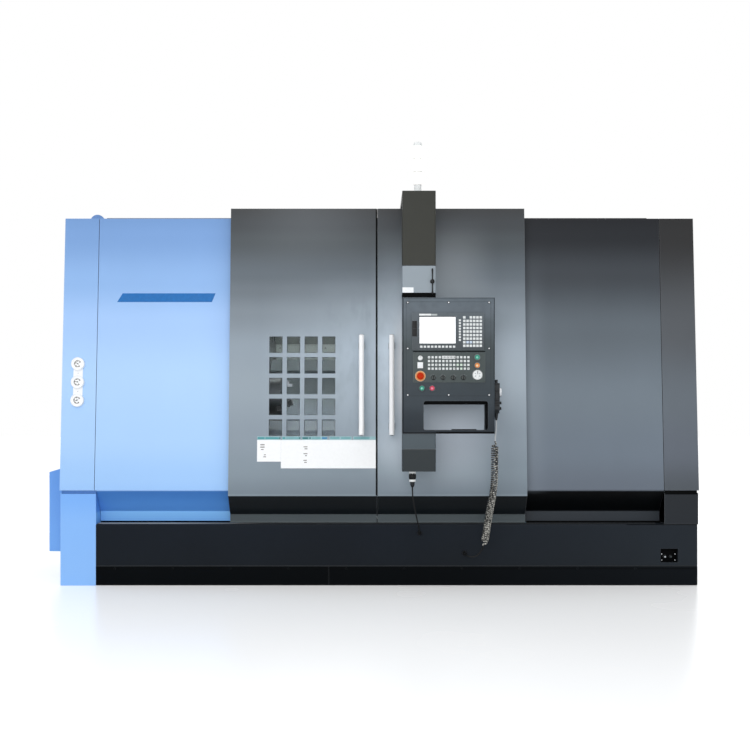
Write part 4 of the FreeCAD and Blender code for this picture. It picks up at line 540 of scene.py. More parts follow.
class Piece:
    """One Blender piece, built from boxes, turned forms and prisms, each with its own material."""

    def __init__(self, name):
        self.name = name
        self.bm = bmesh.new()
        self.looks = []

    def close(self, faces, key):
        """Give faces their material."""
        if key not in self.looks:
            self.looks.append(key)
        index = self.looks.index(key)
        for face in faces:
            face.material_index = index
            face.smooth = True

    def ends(self, rings):
        return [self.bm.faces.new(rings[0][::-1]), self.bm.faces.new(rings[-1])]

    def band(self, low, high):
        """The faces between two rings of as many points."""
        corners = zip(low, low[1:] + low[:1], high[1:] + high[:1], high)
        return [self.bm.faces.new(four) for four in corners]

    def solid(self, rings, key, bevel=0, bands=None):
        """A closed form through rings of as many points; bands has looks of single stretches."""
        before = set(self.bm.faces)
        made = [[self.bm.verts.new(Vector(p) * MM) for p in points] for points in rings]
        ends = self.ends(made)
        stretches = [self.band(low, high) for low, high in zip(made, made[1:])]
        faces = ends + [face for stretch in stretches for face in stretch]
        bmesh.ops.recalc_face_normals(self.bm, faces=faces)
        if bevel:
            edges = {e for f in faces for e in f.edges if e.calc_face_angle(0) > 0.5}
            bmesh.ops.bevel(self.bm, geom=list(edges), offset=bevel * MM, segments=2, affect="EDGES",
                profile=0.6, clamp_overlap=True)
        self.close([f for f in self.bm.faces if f not in before], key)
        for number, look in (bands or {}).items():
            self.close(stretches[number], look)

    def box(self, x0, x1, y0, y1, z0, z1, key, bevel=0):
        base = [(x0, y0), (x1, y0), (x1, y1), (x0, y1)]
        self.solid([[(x, y, z) for x, y in base] for z in (z0, z1)], key, bevel)

    def face_box(self, u0, u1, v0, v1, y0, y1, key, bevel=0):
        """A box given from the top left corner of the control box's face."""
        self.box(FX + u0, FX + u1, y0, y1, FZ - v1, FZ - v0, key, bevel)

    def cap(self, u, v, du, dv, front, key, bevel=0.9):
        """A flat key on that face; du and dv are half its width and height."""
        self.face_box(u - du, u + du, v - dv, v + dv, front - 2, front + 0.5, key, bevel)

    def turned(self, profile, centre, axis, key, steps=40, bands=None):
        """Revolve a text or list of radii and distances along the axis."""
        axis = axis.normalized()
        side = RIGHT if abs(axis.x) < 0.9 else TOP
        side = (side - axis * side.dot(axis)).normalized()
        spokes = [side * c + axis.cross(side) * s for c, s in ring(steps)]
        profile = rows(profile) if isinstance(profile, str) else profile
        rings = [[Vector(centre) + axis * h + spoke * max(r, 0.02) for spoke in spokes] for r, h in profile]
        self.solid(rings, key, 0, bands)

    def stud(self, radius, rise, top, height, centre, axis, key="screw_steel", steps=12):
        """A head that is straight up to rise and tapers to the top radius at its height."""
        self.turned([(radius, 0), (radius, rise), (top, height), (0, height)], centre, axis, key, steps)

    def screw(self, centre, radius):
        self.stud(radius, 0.96, radius * 0.7, 1.6, centre, FRONT, steps=16)

    def plate(self, points, along, key, bevel=0):
        """A flat outline of 3-D points pushed along a vector."""
        along = Vector(along)
        self.solid([points, [Vector(p) + along for p in points]], key, bevel)

    def sheet(self, x0, x1, z0, z1, off, thick, key):
        """A sheet on the doors' leaning face, from off to off + thick in front of it."""
        corners = ((x0, z0), (x1, z0), (x1, z1), (x0, z1))
        self.plate([on_door(x, z) + OUT * off for x, z in corners], OUT * thick, key)

    def made(self):
        mesh = bpy.data.meshes.new(self.name)
        self.bm.to_mesh(mesh)
        self.bm.free()
        for key in self.looks:
            mesh.materials.append(M[key])
        return new_object(self.name, mesh)

    def done(self, body, slot=None, replaces=()):
        for edge in self.bm.edges:
            edge.smooth = edge.calc_face_angle(0) < radians(35)
        obj = self.made()
        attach(obj, body)
        if replaces:
            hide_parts(*replaces)


# ---- pendant
FX, FZ, FY = 132.5, 1713, -1330  # top left corner of the control box's face
PANEL_Y = FY - 4  # front of the operator's panel
STOP = (103.5, 455)  # emergency stop
POWER = ((113, 525), (172, 525))
CYCLE = ((432.6, 346), (432.6, 393))
SELECTORS = (179, 234, 293, 352)
SELECTOR_V = 464
DIAL = (434, 448)


def at(u, v, y):
    """The point u right of and v below the corner of the box's face."""
    return (FX + u, y, FZ - v)


def make_display():
    p = Piece("display_face")
    front = FY - 8
    u0, u1, v0, v1 = 55, 471, 90, 303
    s0, s1, t0, t1 = 97, 309, 110, 268  # the screen
    for edges in ((u0, s0, v0, v1), (s1, u1, v0, v1), (s0, s1, v0, t0), (s0, s1, t1, v1)):
        p.face_box(*edges, front, FY, "bezel_plastic")
    p.face_box(s0, s1, t0, t1, front + 3, FY, "screen_glass")
    for edges in ((s0, s1, t0, t0 + 3), (s0, s1, t1 - 2, t1), (s0, s0 + 2, t0, t1), (s1 - 2, s1, t0, t1)):
        p.face_box(*edges, front + 1.2, front + 3.4, BLACK, 0.3)
    p.face_box(97, 165, 95, 105, front - 0.8, front + 1, WHITE, 0.4)
    p.face_box(165.5, 201, 96, 105, front - 0.8, front + 1, "dial_grey", 0.4)
    p.face_box(56, 84, 136, 226, front - 1.6, front + 1, BLACK, 0.8)
    p.face_box(60, 80, 178, 184, front - 2.4, front, DARK, 0.4)
    for row in range(9):
        for column in range(6):
            if (row, column) != (0, 1):
                look = "blue_key_plastic" if row == 7 and column in (1, 2) else KEY
                p.cap(357.5 + column * 19, 115.7 + row * 20.5, 7.25, 7, front, look)
    for column in range(10):
        p.cap(109 + column * 21, 285, 7, 6, front, KEY)
    for row in range(8):
        p.cap(332, 132.5 + row * 16.3, 6, 5.5, front, KEY, 0.8)
    p.done("pendant", "bezel_plastic", ["display_unit"])


def collar(p, u, v, y):
    p.turned("14.5 0, 17.5 0, 17.5 6.5, 16.5 7.5, 14.5 7.5, 14.5 0.2", at(u, v, y), FRONT, "collar_steel")


def make_operator_face():
    p = Piece("operator_face")
    front = PANEL_Y
    p.face_box(61, 479, 319, 491, front, FY, "panel_plastic", 0.8)
    for row in range(4):
        for column in range(12):
            if row or not 4 <= column <= 7:
                green = column in (8, 9) and row in (2, 3) and (row, column) != (3, 8)
                p.cap(154 + column * 20.7, 346 + row * 22, 6.5, 6.5, front,
                    "green_key_plastic" if green else KEY)
    p.cap(267.2, 346, 38.8, 8, front, WHITE, 0.5)
    for line in range(9):
        u = 233 + line * 8.2
        p.face_box(u, u + 3.2, 341, 351, front - 2.3, front - 1.8, DARK)
    for index in range(26):
        if index % 4 or not 3 < index % 12 < 8:
            u, v = 154 + (index % 12) * 20.7, 346 + (index % 4) * 22
            look = DARK if index % 5 else "green_plastic"
            p.face_box(u - 2.2, u + 2.2, v - 1.6, v + 1.6, front - 2.3, front - 1.9, look)
    p.face_box(87, 119, 374.5, 409.5, front - 5, front + 0.5, WHITE, 1.6)
    p.face_box(91, 115, 379, 405, front - 5.8, front - 4.5, LABEL, 0.6)
    # the ring's outer side and rim are paler: a painted highlight on its edge
    p.turned("13 0, 30 0, 30 3.6, 28.4 5, 12.6 5, 12.6 0.2", at(*STOP, front), FRONT, "yellow_plastic", 56,
        {1: "ring_light", 2: "ring_light"})
    p.turned("8 0, 8 11.5, 0 11.5", at(*STOP, front), FRONT, BLACK, 32)
    for u, v in CYCLE:
        collar(p, u, v, front)
    for u in SELECTORS:
        for du, dv in ring(5, 17.5, radians(30), radians(150)):
            p.turned("0.9 0, 0.9 0.3", at(u + du, SELECTOR_V - dv, front), FRONT, LABEL, 8)
    for du, dv in ring(16, 31.5, radians(-45), radians(288)):
        p.turned("1 0, 1 0.3", at(DIAL[0] + du, DIAL[1] - dv, front), FRONT, LABEL, 8)
    for u, v in rows("67 325, 473 325, 67 485, 473 485, 200 322, 340 322, 200 488, 340 488"):
        p.stud(2, 0.6, 1.4, 1, at(u, v, front), FRONT, BLACK, 14)
    p.done("pendant", "bezel_plastic", ["operator_panel"])


def make_box_trim():
    """Screws, seams and vents of the control box, the collars of its power buttons, its shadow lines."""
    p = Piece("control_box_trim")
    for u, v in rows("31 29, 268 29, 502 29, 31 295, 502 295, 31 564, 268 564, 502 564"):
        p.turned("7.5 0, 7.5 0.5, 0 0.5", at(u, v, FY), FRONT, DARK, 20)
        p.screw(at(u, v, FY - 0.4), 4.2)
    for u, v in POWER:
        collar(p, u, v, FY)
    for edges in rows("26 509 24.2 25.2, 26 509 568.8 569.8, 22 22.9 26 567, 511 511.9 26 567"):
        p.face_box(*edges, FY - 0.4, FY + 0.4, BLACK)
    for u in (20, 515):
        for v in (120, 660):
            p.stud(6, 1.4, 4, 2.4, at(u, v, -1170), BACK, steps=16)
    for row in range(9):
        v = 150 + row * 13
        p.face_box(190, 345, v, v + 5, -1170.2, -1168.6, BLACK, 0.5)
    p.face_box(60, 475, 300, 560, -1170.2, -1168.8, "arm_paint", 1.2)
    for edges in rows("196 533 777 787, 2 196 781 786, 2.2 5.4 3 784, 530.6 533.2 3 470, 2 533 2.2 4.2, "
            "61 479 310 315"):
        p.face_box(*edges, FY - 0.5, FY + 0.3, VOID)
    p.face_box(285, 430, 762, 767.8, -1322, -1296, VOID, 1.5)
    # black liners along the passage's top and right side: painted shade inside the passage
    p.face_box(123.5, 494.5, 599.5, 619, -1318, -1180, VOID, 2)
    p.face_box(487, 494.5, 619.5, 767.5, -1318, -1180, VOID, 2)
    p.done("pendant", "box_paint")


def button(name, place, base_y, key, slot):
    p = Piece(name + "_cap")
    x, y, z = at(*place, base_y - 4.5)
    p.turned("14 0, 14 5.6, 13.2 7.4, 11.8 8, 10.6 7.4, 0 7.1", (x, y, z), FRONT, key)
    p.turned("6.6 7, 6 7.7, 3 8, 0 8", (x - 1.5, y, z - 1), FRONT, key.split("_")[0] + "_light", 24)
    p.done(name, slot, [name])


def knob(name, u, v, radius, key, mark, slot, ribs):
    """A turning knob with a ribbed skirt, a grip across it and a pointer."""
    p = Piece(name + "_cap")
    thick = 16
    x, back, z = at(u, v, PANEL_Y - 0.3)
    p.turned([(radius, 0), (radius, thick * 0.25), (radius * 0.9, thick * 0.42), (radius * 0.86, thick * 0.58),
        (radius * 0.78, thick * 0.6), (0, thick * 0.6)], (x, back, z), FRONT, key,
        bands={4: "knob_face"} if key == BLACK else None)
    rib = radius * 0.07
    for dx, dz in ring(ribs, radius * 0.9):
        p.turned([(rib, 0), (rib, thick * 0.4), (0, thick * 0.44)], (x + dx, back, z + dz), FRONT, key, 8)
    w, h = radius * 0.2, radius * 0.85
    p.box(x - w, x + w, back - thick, back - thick * 0.3, z - h, z + h, key, radius * 0.08)
    p.box(x - w * 0.35, x + w * 0.35, back - thick, back - thick + 0.4, z + h * 0.2, z + h * 0.95, mark)
    # grey studs round the big dial stand for the shade in its grip's hollows: painted shade
    if radius > 20:
        for dx, dz in ring(6, radius * 0.52, pi / 6):
            p.turned([(radius * 0.17, 0), (radius * 0.15, thick * 0.66), (0, thick * 0.67)],
                (x + dx, back, z + dz), FRONT, "dial_grey", 14)
    p.done(name, slot, [name])


def make_controls():
    button("start_button", CYCLE[0], PANEL_Y, "green_plastic", "green_plastic")
    button("hold_button", CYCLE[1], PANEL_Y, "orange_plastic", "orange_plastic")
    button("power_on_button", POWER[0], FY, "green_plastic", "green_plastic")
    button("power_off_button", POWER[1], FY, "red_lamp", "red_plastic")
    knob("key_switch", 103.5, 350.5, 14, WHITE, "ink", "white_dial", 20)
    knob("override_dial", *DIAL, 28, WHITE, "ink", "white_dial", 28)
    for index, u in enumerate(SELECTORS):
        knob("selector_knob_" + str(index + 1), u, SELECTOR_V, 13, BLACK, LABEL, "black_plastic", 14)
    p = Piece("emergency_stop_cap")
    p.turned("8.6 17, 8.6 5.5, 12 5.5, 12 10.5, 17 10.5, 19.6 12, 20 14, 20 19, 19 21.6, 16.5 23.6, 12 24.8, "
        "6 25.3, 0 25.4", at(*STOP, PANEL_Y - 1), FRONT, "red_plastic", 56)
    p.done("emergency_stop", "red_plastic", ["emergency_stop"])


def make_lever():
    p = Piece("lever")
    x, y = 306, -1325.3
    p.turned("13 0, 13 2, 10 4, 10 14, 12 16, 12 17, 10.5 18, 0 18", (x, y, 1806), FRONT, BLACK)
    p.turned("3 0, 4.4 2, 5 6, 5 12, 4 18, 3.6 30, 3.6 120, 4 132, 5 138, 5 144, 4.4 148, 3 150",
        (x, y - 9, 1731), TOP, BLACK, 24)
    p.done("swivel_lever", "black_plastic", ["swivel_lever"])


def make_arm_trim():
    p = Piece("arm_trim")
    p.box(132.6, 197, -1326, -1324.8, 1741.4, 1772, LABEL, 0.4)
    p.box(132.4, 325.6, -1325.6, -1324.6, 1897, 1900.6, BLACK)
    for x, axis in ((134.5, LEFT), (323.5, RIGHT)):
        for z in (1950, 2280):
            p.turned("5 0, 5 0.4, 3 0.4", (x, ARM_Y, z), axis, "arm_paint", 16)
    # A black square ring round the neck that paints the shade of the gap between the housing and the box.
    for edges in rows("132 326 -1325 -1323, 132 326 -1177 -1175, 132 134 -1323 -1177, 324 326 -1323 -1177"):
        p.box(*edges, 1716, 1741, VOID, 0.4)
    p.box(150, 308, -1175.2, -1173.6, 1960, 2260, "arm_paint", 1)
    for x, z in rows("156 1968, 302 1968, 156 2252, 302 2252"):
        p.stud(5, 1.2, 3.5, 2.2, (x, -1173.8, z), BACK, steps=16)
    for x in (120, 338):
        for y in (-600, -424):
            p.stud(11, 8, 9, 9, (x, y, 2255), TOP, steps=6)
    p.done("machine", "box_paint")


def make_tower():
    p = Piece("tower")
    x, y, z = 224, ARM_Y, 2332
    profile = rows("33 0, 34 1, 34 7, 33 8, 22 8, 21 10, 21 44, 22 45")
    bands, height = {}, 45
    for look in ("lens_red", "lens_yellow", "lens_green"):
        first = len(profile) + 1
        profile += [(23.4, height), (24, height + 1)]
        for rib in range(6):
            low = height + 3 + rib * 11.6
            profile += [(24, low), (23.4, low + 2), (24, low + 4)]
        profile += [(24, height + 74), (23.4, height + 75)]
        bands.update(dict.fromkeys(range(first, len(profile) - 1), look))
        profile += [(21, height + 75), (21, height + 78)]
        height += 78
    profile += [(24, height), (24, height + 8), (22, height + 13), (17, height + 16), (0, height + 16)]
    p.turned(profile, (x, y, z), TOP, WHITE, 40, bands)
    for dx, dy in ring(3, 28, radians(30)):
        p.turned("3 0, 3 2.6, 0 2.6", (x + dx, y + dy, z + 8), TOP, "screw_steel", 12)
    p.done("machine", "lens_plastic", ["signal_tower"])


def make_connector():
    p = Piece("connector")
    x, y = 193, ARM_Y
    p.turned("18 0, 19 1, 19 11, 18 13, 17.5 13.5, 20 18, 21.6 25, 22 32, 21.4 40, 19 47, 18.6 49, 19 51, "
        "19 60, 18 62, 13.5 63, 13 70, 12.5 82, 9 90, 6 95", (x, y, 705), BOTTOM, BLACK, 40,
        dict.fromkeys((0, 1, 2, 10, 11, 12), WHITE))
    for rib in range(4):
        p.turned("12.9 0, 13.3 0.8, 13.3 1.8, 12.9 2.6", (x, y, 638 - rib * 4.4), BOTTOM, DARK, 32)
    for dx, dy in ring(12, 19):
        p.turned("1.1 0, 1.1 17", (x + dx, y + dy, 704), BOTTOM, WHITE, 8)
    p.done("pendant", "black_plastic", ["lead_connector"])


def make_wheel_trim():
    """Dial plate, screws, grip strips and enable button of the hand wheel unit, its wheel and knobs."""
    p = Piece("wheel_unit_trim")
    side = 699.5
    p.box(side - 0.4, side + 0.15, -1290, -1210, 1060, 1212, "bezel_plastic")
    p.box(side - 0.4, side + 0.2, -1280, -1220, 1052, 1060, LABEL)
    for y, z in rows("-1289 1205, -1211 1205, -1280 1056, -1220 1056"):
        p.turned("2.6 0, 2.6 0.2", (side, y, z), RIGHT, "screw_steel", 12)
    for y in (-1297.2, -1203.4):
        for row in range(7):
            p.box(672, 695, y, y + 0.6, 1085 + row * 14, 1092 + row * 14, BLACK, 0.2)
    p.box(676, 692, -1298.5, -1295, 1120, 1160, DARK, 1)
    p.done("pendant", "bezel_plastic")

    w = Piece("hand_wheel_disc")
    face, y, z = 699.8, ARM_Y, 1165
    w.turned("30 0, 30 10, 28.8 12, 26 12, 24.4 9.5, 23 7, 6 7, 5 8, 0 8", (face, y, z), RIGHT, "chrome", 64,
        {4: BLACK, 5: BLACK})
    for dy, dz in ring(50, 28.4):
        w.turned("0.45 0, 0.45 0.12", (face + 11.8, y + dy, z + dz), RIGHT, "ink", 6)
    w.turned("4 0, 4 3, 3.4 4, 3.4 7, 2 8, 0 8", (face + 6, y, z - 16.5), RIGHT, BLACK, 20)
    w.done("hand_wheel", "chrome", ["hand_wheel"])
    for name, z in (("axis_knob", 1103), ("rate_knob", 1071)):
        k = Piece(name + "_cap")
        k.turned("9 0, 9 2, 8.2 3, 8.2 10.6, 7.4 12, 0 12", (face, -1262, z), RIGHT, BLACK, 24)
        k.box(face + 11.6, face + 12, -1262.7, -1261.3, z + 1, z + 7, LABEL)
        k.done(name, "black_plastic", [name])


# ---- cords
LEAD_ROUTE = rows("193 -1250 610, 193 -1250 568, 199 -1243 522, 208 -1226 478, 218 -1199 434, 228 -1163 392, "
    "237 -1120 352, 243 -1076 318, 243 -1030 318")
CORD_ROUTE = rows("683.5 -1250 1002, 683.5 -1250 960, 679 -1248 914, 675 -1248 870, 675 -1246 822, "
    "675 -1222 607, 649 -1167 452, 627 -1112 262, 602 -1094 208, 574 -1096 186, 545 -1094 184, 523 -1080 191, "
    "515 -1056 197, 515 -1030 197")
CORD_STEPS = 3600
CURL_RADIUS, CURL_PITCH, CURL_EASE = 17.5, 13, 44
CURL_START, CURL_STOP = 884, 244  # heights between which the cord is curled
STEM_END, TAIL_START = 0.880, 0.256  # heights, in metres, of the sleeve's end and the plain tail


def route(name, points):
    """A smooth NURBS line through the route's runs, read back as points in metres."""
    data = bpy.data.curves.new(name, "CURVE")
    data.dimensions = "3D"
    data.resolution_u = 24
    spline = data.splines.new("NURBS")
    spline.points.add(len(points) - 1)
    for point, place in zip(spline.points, points):
        point.co = (*(Vector(place) * MM), 1)
    spline.order_u = 3
    spline.use_endpoint_u = True
    obj = new_object(name, data)
    bpy.context.view_layer.update()
    mesh = bpy.data.meshes.new_from_object(obj.evaluated_get(bpy.context.evaluated_depsgraph_get()))
    line = [v.co.copy() for v in mesh.vertices]
    bpy.data.objects.remove(obj)
    bpy.data.curves.remove(data)
    bpy.data.meshes.remove(mesh)
    return line


def resampled(line, count):
    """The same line as count even steps, and its length."""
    reach = [0]
    for a, b in zip(line, line[1:]):
        reach.append(reach[-1] + (b - a).length)
    out, spot = [], 0
    for step in range(count + 1):
        want = reach[-1] * step / count
        while spot < len(line) - 2 and reach[spot + 1] < want:
            spot += 1
        span = max(reach[spot + 1] - reach[spot], 1e-12)
        out.append(line[spot].lerp(line[spot + 1], min(1, (want - reach[spot]) / span)))
    return out, reach[-1]


def frames_along(line):
    """Two unit vectors square to the line at each point, carried along without twist."""
    tangents = [(after - before).normalized()
        for before, after in zip(line[:1] + line[:-1], line[1:] + line[-1:])]
    side = RIGHT - tangents[0] * tangents[0].x
    side.normalize()
    sides = []
    for tangent in tangents:
        side = (side - tangent * side.dot(tangent)).normalized()
        sides.append((side.copy(), tangent.cross(side)))
    return sides


def tube(name, line, radius, look_at, sides):
    """A closed tube round a line; look_at(i) names the material of the i-th stretch."""
    p = Piece(name)
    rings = []
    for point, (side, other) in zip(line, frames_along(line)):
        rings.append([p.bm.verts.new(point + (side * c + other * s) * radius) for c, s in ring(sides)])
    p.close(p.ends(rings), look_at(0))
    for i, (low, high) in enumerate(zip(rings, rings[1:])):
        p.close(p.band(low, high), look_at(i))
    p.bm.normal_update()
    return p.made()


def curled(line, total):
    """The line wound into curls that grow from nothing at either end."""
    first = next(i for i, p in enumerate(line) if p.z < CURL_START * MM)
    last = max(i for i, p in enumerate(line) if p.z > CURL_STOP * MM)
    step = total / CORD_STEPS
    centre, a = [], 0
    for i, (point, (side, other)) in enumerate(zip(line, frames_along(line))):
        ease = min(1, min(i - first, last - i) * step / (CURL_EASE * MM))
        if ease > 0:
            a += 2 * pi * step / (CURL_PITCH * MM) * ease * ease
            r = CURL_RADIUS * MM * ease * ease * (3 - 2 * ease)
            centre.append(point + (side * cos(a) + other * sin(a)) * r)
        elif i % 12 == 0:
            centre.append(point)
    return centre


def make_cords():
    line, _ = resampled(route("lead_route", LEAD_ROUTE), 120)
    lead = tube("lead", line, 4 * MM, lambda i: "rubber", 12)
    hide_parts("connector_lead")
    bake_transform(lead)

    centre = curled(*resampled(route("cord_route", CORD_ROUTE), CORD_STEPS))
    _, length = resampled(centre, 1)
    stem = next(i for i, p in enumerate(centre) if p.z < STEM_END)
    tail = max(i for i, p in enumerate(centre) if p.z > TAIL_START)

    def look(i):
        if i < stem:
            return "grey_sleeve"
        return "curl_skin" if i < tail else "rubber"
    cord = tube("curly_cord", centre, 4.5 * MM, look, 10)
    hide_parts("wheel_cord")
    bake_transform(cord)


# ---- enclosure details
def gauge_mark(p, base, degrees, inner, outer, half, tip, rise, key):
    """A mark or needle that points away from a gauge's middle, half its width given at both ends."""
    across, up = cos(radians(degrees)), sin(radians(degrees))
    way = RIGHT * across + UP * up
    cross = RIGHT * -up + UP * across
    p.plate([base + way * inner - cross * half, base + way * outer - cross * tip,
        base + way * outer + cross * tip, base + way * inner + cross * half], OUT * rise, key)


def make_gauges():
    p = Piece("gauges")
    x, low, high = -1836, 1092, 1370
    p.plate([on_panel(x + dx, z) for dx, z in ((-29, low), (29, low), (29, high), (-29, high))], OUT * 4,
        "label_sheet", 1.2)
    for z in (1342, 1231, 1120):
        centre = on_panel(x, z)
        p.turned("38 0, 40 2, 40 22, 39 25, 37.5 26, 36 26, 35 25, 34.6 21.5, 0 21.5", centre, OUT,
            "label_sheet", 56, {2: WHITE})
        for tick in range(17):
            inner, half = (16, 1.9) if tick % 4 else (13, 2.6)
            gauge_mark(p, centre + OUT * 21.5, 35 + tick * 16.875, inner, 22, half, half, 0.3, "gauge_ink")
        base = centre + OUT * 22.3
        gauge_mark(p, base, 200 - (z - 1120) * 0.25, -7, 20, 1.6, 0.6, 0.6, "ink")
        p.stud(3.2, 1.6, 2, 2.4, base, OUT, BLACK, 20)
    for z in (1175, 1286):
        p.stud(3.4, 1.2, 2, 1.8, on_panel(x, z) + OUT * 3.9, OUT, steps=16)
    p.done("machine", "white_dial", ["pressure_gauges"])


LABEL_BARS = ((-732, -690, "ink"), (-686, -606, "ink"), (-604, -595, "deep"), (-583, -566, "ink"),
    (-561, -485, "mid"), (-484, -475, "deep"), (-463, -428, "deep"), (-422, -412, "deep"), (-407, -352, "mid"),
    (-346, -314, "blue"), (-296, -240, "mid"), (-230, -172, "mid"), (-152, -60, "mid"))
# left edge, lower edge, width, height
LABEL_DASHES = rows("-716 850 26 6, -716 836 26 6, -712 822 16 5, -694 790 12 5, -697 778 16 5, -456 838 24 5, "
    "-450 826 18 5, -456 797 24 5, -447 785 12 5, -456 757 20 5, -452 745 16 5")


def make_door_trim():
    p = Piece("door_label")
    p.sheet(-591.5, -20, 712, 882, 0.05, 0.5, "label_sheet")
    p.sheet(-735, -592, 752, 882, 0.05, 0.5, "label_sheet")
    for x0, x1 in rows("-735 -594, -586 -474, -466 -312, -300 -166, -158 -22"):
        p.sheet(x0, x1, 882, 903, 0.05, 0.5, "label_teal")
    for x0, x1, look in LABEL_BARS:
        p.sheet(x0, x1, 887, 898.5, 0.5, 0.15, "label_" + look)
    for x, z, w, h in LABEL_DASHES:
        p.sheet(x, x + w, z, z + h, 0.5, 0.15, "gauge_ink")
    p.done("left_door", "white_dial")

    g = Piece("window_seals")
    wide, high, lip = 80, 100, 3
    for column in range(4):
        for row in range(5):
            x0, z0 = -666 + column * 106.7, 906 + row * 125.5
            x1, z1 = x0 + wide, z0 + high
            for edges in ((x0, x0 + lip, z0, z1), (x1 - lip, x1, z0, z1),
                    (x0 + lip, x1 - lip, z0, z0 + lip), (x0 + lip, x1 - lip, z1 - lip, z1)):
                g.sheet(*edges, -7.5, 3.2, "window_seal")
    g.box(-15.8, -10.8, -1066, -1060, 552, 556, BLACK, 0.5)
    # the seal in the doors' gap is painted near black for the gap's shade, and a black strip on the left door
    # beside it paints that shade wider
    g.sheet(-15.8, -10.8, 548, 2292, -9, 6.5, VOID)
    g.sheet(-21.5, -16.2, 550, 2290, 0.05, 0.7, VOID)
    g.done("left_door", "black_plastic")

    for body, x, name in (("left_door", -107, "left_handle_ends"), ("right_door", 75, "right_handle_ends")):
        h = Piece(name)
        foot = on_door(x, 906)
        for along, way in rows("0 -1, 606 1"):
            h.turned("11 -0.6, 11 0.6, 9.5 1.6, 0 1.6", foot + OUT * 60 + UP * (along + way * 0.2), UP * way,
                BLACK, 32)
        for along in (60, 546):
            for dx in (-15, 15):
                for dz in (-15, 15):
                    h.stud(3.2, 1.6, 2, 2.2, foot + UP * along + OUT * 6 + RIGHT * dx + UP * dz, OUT,
                        "door_paint")
        h.done(body, "black_plastic")


def make_work_lamps():
    """Two sealed lamp tubes under the roof that light the work, in clamps, and the rear splash sheet."""
    p = Piece("work_lamps")
    y, length = -640, 600
    for x in (-720, 80):
        p.turned([(20, 0), (24, 3), (24, 34), (21, 36), (21, length - 36), (24, length - 34), (24, length - 3),
            (20, length)], (x, y, 2160), RIGHT, "collar_steel", 32, {3: "lamp_tube"})
        for middle in (x + 60, x + length - 60):
            p.box(middle - 9, middle + 9, y - 27, y + 27, 2136, 2190, "ground_steel", 2)
            p.box(middle - 14, middle + 14, y - 30, y + 30, 2190, 2214, "ground_steel", 2)
    p.done("machine", "steel")

    w = Piece("rear_splash_sheet")
    for x in (-748, -186, 376, 938):
        w.box(x, x + 558, 552, 556, 1425, 1541, "splash_steel", 0.8)
        w.box(x + 1, x + 557, 546, 552.5, 1532, 1540, "splash_steel", 1)
        for along in (30, 190, 360, 528):
            w.stud(6, 1.4, 4, 2.2, (x + along, 552, 1514), FRONT)
    w.done("machine", "steel")


def make_stripe():
    p = Piece("panel_stripe")
    outline = rows("-1607 1724, -1026 1724, -1004 1778, -1574 1778")
    p.plate([on_panel(x, z) + OUT * 0.05 for x, z in outline], OUT * 0.5, "stripe_blue")
    p.done("machine", "blue_paint")


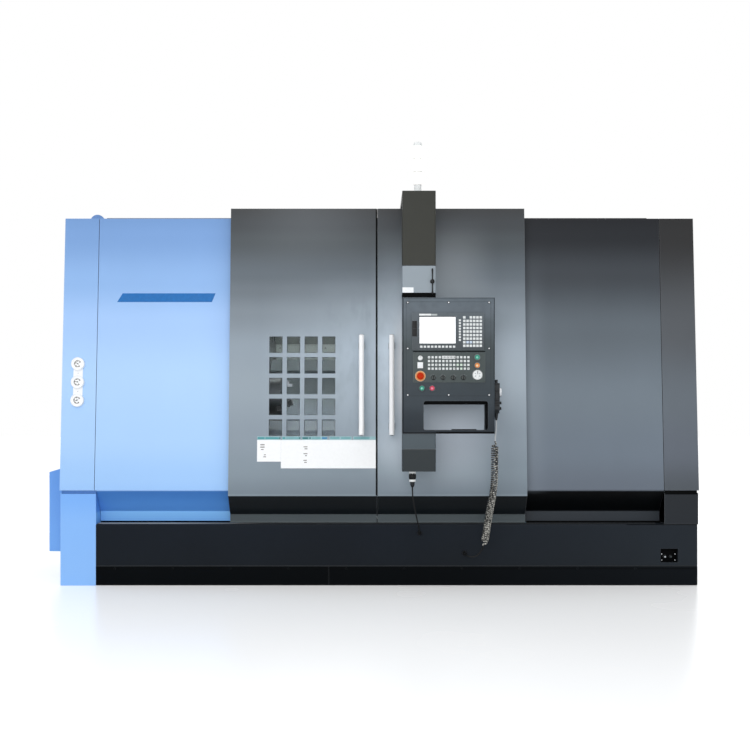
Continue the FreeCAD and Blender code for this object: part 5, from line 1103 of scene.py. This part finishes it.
def make_base_trim():
    """Bolts of the base, its seams drawn as painted shadow lines and a painted highlight line, the undercut's
    ends, the notch's plate and the glands.
    """
    p = Piece("base_trim")
    for z in (186, 149.5):
        for x in (1717, 1798.5):
            p.screw((x, -964, z), 3.6)
    # painted shadow lines under the ledges
    for x0, x1 in rows("905 1898, -1713 -905"):
        p.box(x0, x1, -877.4, -876.2, 370.4, 381, VOID, 0.3)
    # a painted highlight line along the kick's top, DARK being paler than the base, and painted shadow lines
    for x0, z0, z1, key in ((-1712, 117.3, 120.3, DARK), (-1712, 100.6, 104.2, VOID),
            (1498, 366.4, 369.6, VOID)):
        p.box(x0, 1922, -1000.4, -999, z0, z1, key, 0.3)
    for x in range(-1600, 1900, 350):
        p.stud(7, 3.2, 5, 4.4, (x, -1000, 102), FRONT, "kick_paint", 6)
    for x in (-1640, -700, 240, 1180, 1850):
        p.stud(34, 1.2, 30, 2.6, (x, -994.2, 60), FRONT, "kick_paint", 28)
    p.done("machine", "black_paint")

    e = Piece("undercut_ends")
    e.plate(rows("-1715 -998.5 574, -1715 -876 441, -1715 -876 371, -1715 -998.5 371"), RIGHT, "blue_paint")
    # the shadow gaps under the end covers: painted shade, black on the right and dark blue on the left
    e.box(1728, 1922.5, -1000.5, -990, 551, 574.6, VOID, 0.3)
    e.box(-1922.5, -1716, -1000.5, -990, 554, 574.6, "gap_blue", 0.3)
    e.done("machine", "blue_paint")

    f = Piece("fittings")
    f.box(1703, 1809, -964, -960, 139, 222, VOID, 0.8)
    for x, r, key in ((1732.7, 11, "screw_steel"), (1768.7, 9, "collar_steel")):
        f.turned([(r, 0), (r, 7), (r * 0.8, 8), (r * 0.8, 20), (r * 0.7, 23), (r * 0.45, 24), (r * 0.45, 12),
            (0, 12)], (x, -964, 172.2), FRONT, DARK, 32, {5: key, 6: key})
        f.turned([(r + 3, 0), (r + 3, 2), (r + 2, 3), (r, 3)], (x, -964, 172.2), FRONT, BLACK, 6)
    for x, z in rows("515 197, 243 318"):
        f.turned("14 0, 14 9, 13 10, 10.5 10", (x, -1000, z), FRONT, BLACK, 6)
        f.turned("10.5 9, 10.5 19, 9.6 21, 8.2 23, 6.2 28, 5.6 30", (x, -1000, z), FRONT, BLACK, 32)
        for dx, dz in ring(12, 10.3):
            f.turned("0.9 10, 0.9 19", (x + dx, -1000, z + dz), FRONT, BLACK, 6)
    f.done("machine", "black_plastic", ["cable_fittings"])


def make_cover_trim():
    """Screws on the roof, the back and the left end, and the cabinet's louvres, locks and switch."""
    p = Piece("cover_screws")
    for x in range(-1650, 1700, 330):
        for y in (-790, 560):
            p.stud(7, 4, 5.4, 5, (x, y, 2243), TOP, steps=6)
        for z in (430, 1240, 2150):
            if not (-900 < x < 500 and 350 < z < 2050):
                p.stud(6, 2.4, 4, 3.4, (x, 600, z), BACK)
    for z in (640, 1180, 1720, 2180):
        for y in (-780, -260, 260, 560):
            p.stud(6, 2.4, 4, 3.4, (-1935, y, z), LEFT, "blue_paint")
    p.done("machine", "steel")

    c = Piece("cabinet_trim")
    y = CABINET_BACK
    for x in (-760, 60):
        for z in range(470, 662, 16):
            c.box(x, x + 300, y - 0.5, y + 2.4, z, z + 7, DARK, 0.8)
    for z in (620, 1800):
        c.turned("13 0, 13 3, 11 4, 5 4, 0 4", (462, y, z), BACK, "chrome", 28)
        c.box(459, 465, y + 3, y + 5, z - 6, z + 6, BLACK, 0.4)
    c.box(280, 384, y - 0.5, y + 0.8, 1480, 1600, LABEL, 1)
    for x in (-880, -400, 80, 470):
        for z in (372, 2030):
            c.stud(5, 1.6, 3.4, 2.4, (x, y, z), BACK)
    c.done("cabinet_door", "cabinet_paint")

    s = Piece("main_switch_grip")
    x, y, z = 332, CABINET_BACK + 0.3, 1540
    s.turned("34 0, 34 3, 32 5, 30 12, 28 14, 0 14", (x, y, z), BACK, "yellow_plastic", 48,
        {3: "red_plastic", 4: "red_plastic"})
    s.box(x - 8.5, x + 8.5, y + 6, y + 28, z - 27, z + 27, "red_plastic", 2.5)
    s.done("main_switch", "red_plastic", ["main_switch"])


make_camera()
make_materials()
make_connector()
make_cords()
make_light()
dress_nodes()
make_display()
make_operator_face()
make_box_trim()
make_controls()
make_lever()
make_arm_trim()
make_tower()
make_wheel_trim()
make_gauges()
make_door_trim()
make_work_lamps()
make_stripe()
make_base_trim()
make_cover_trim()
make_floor()
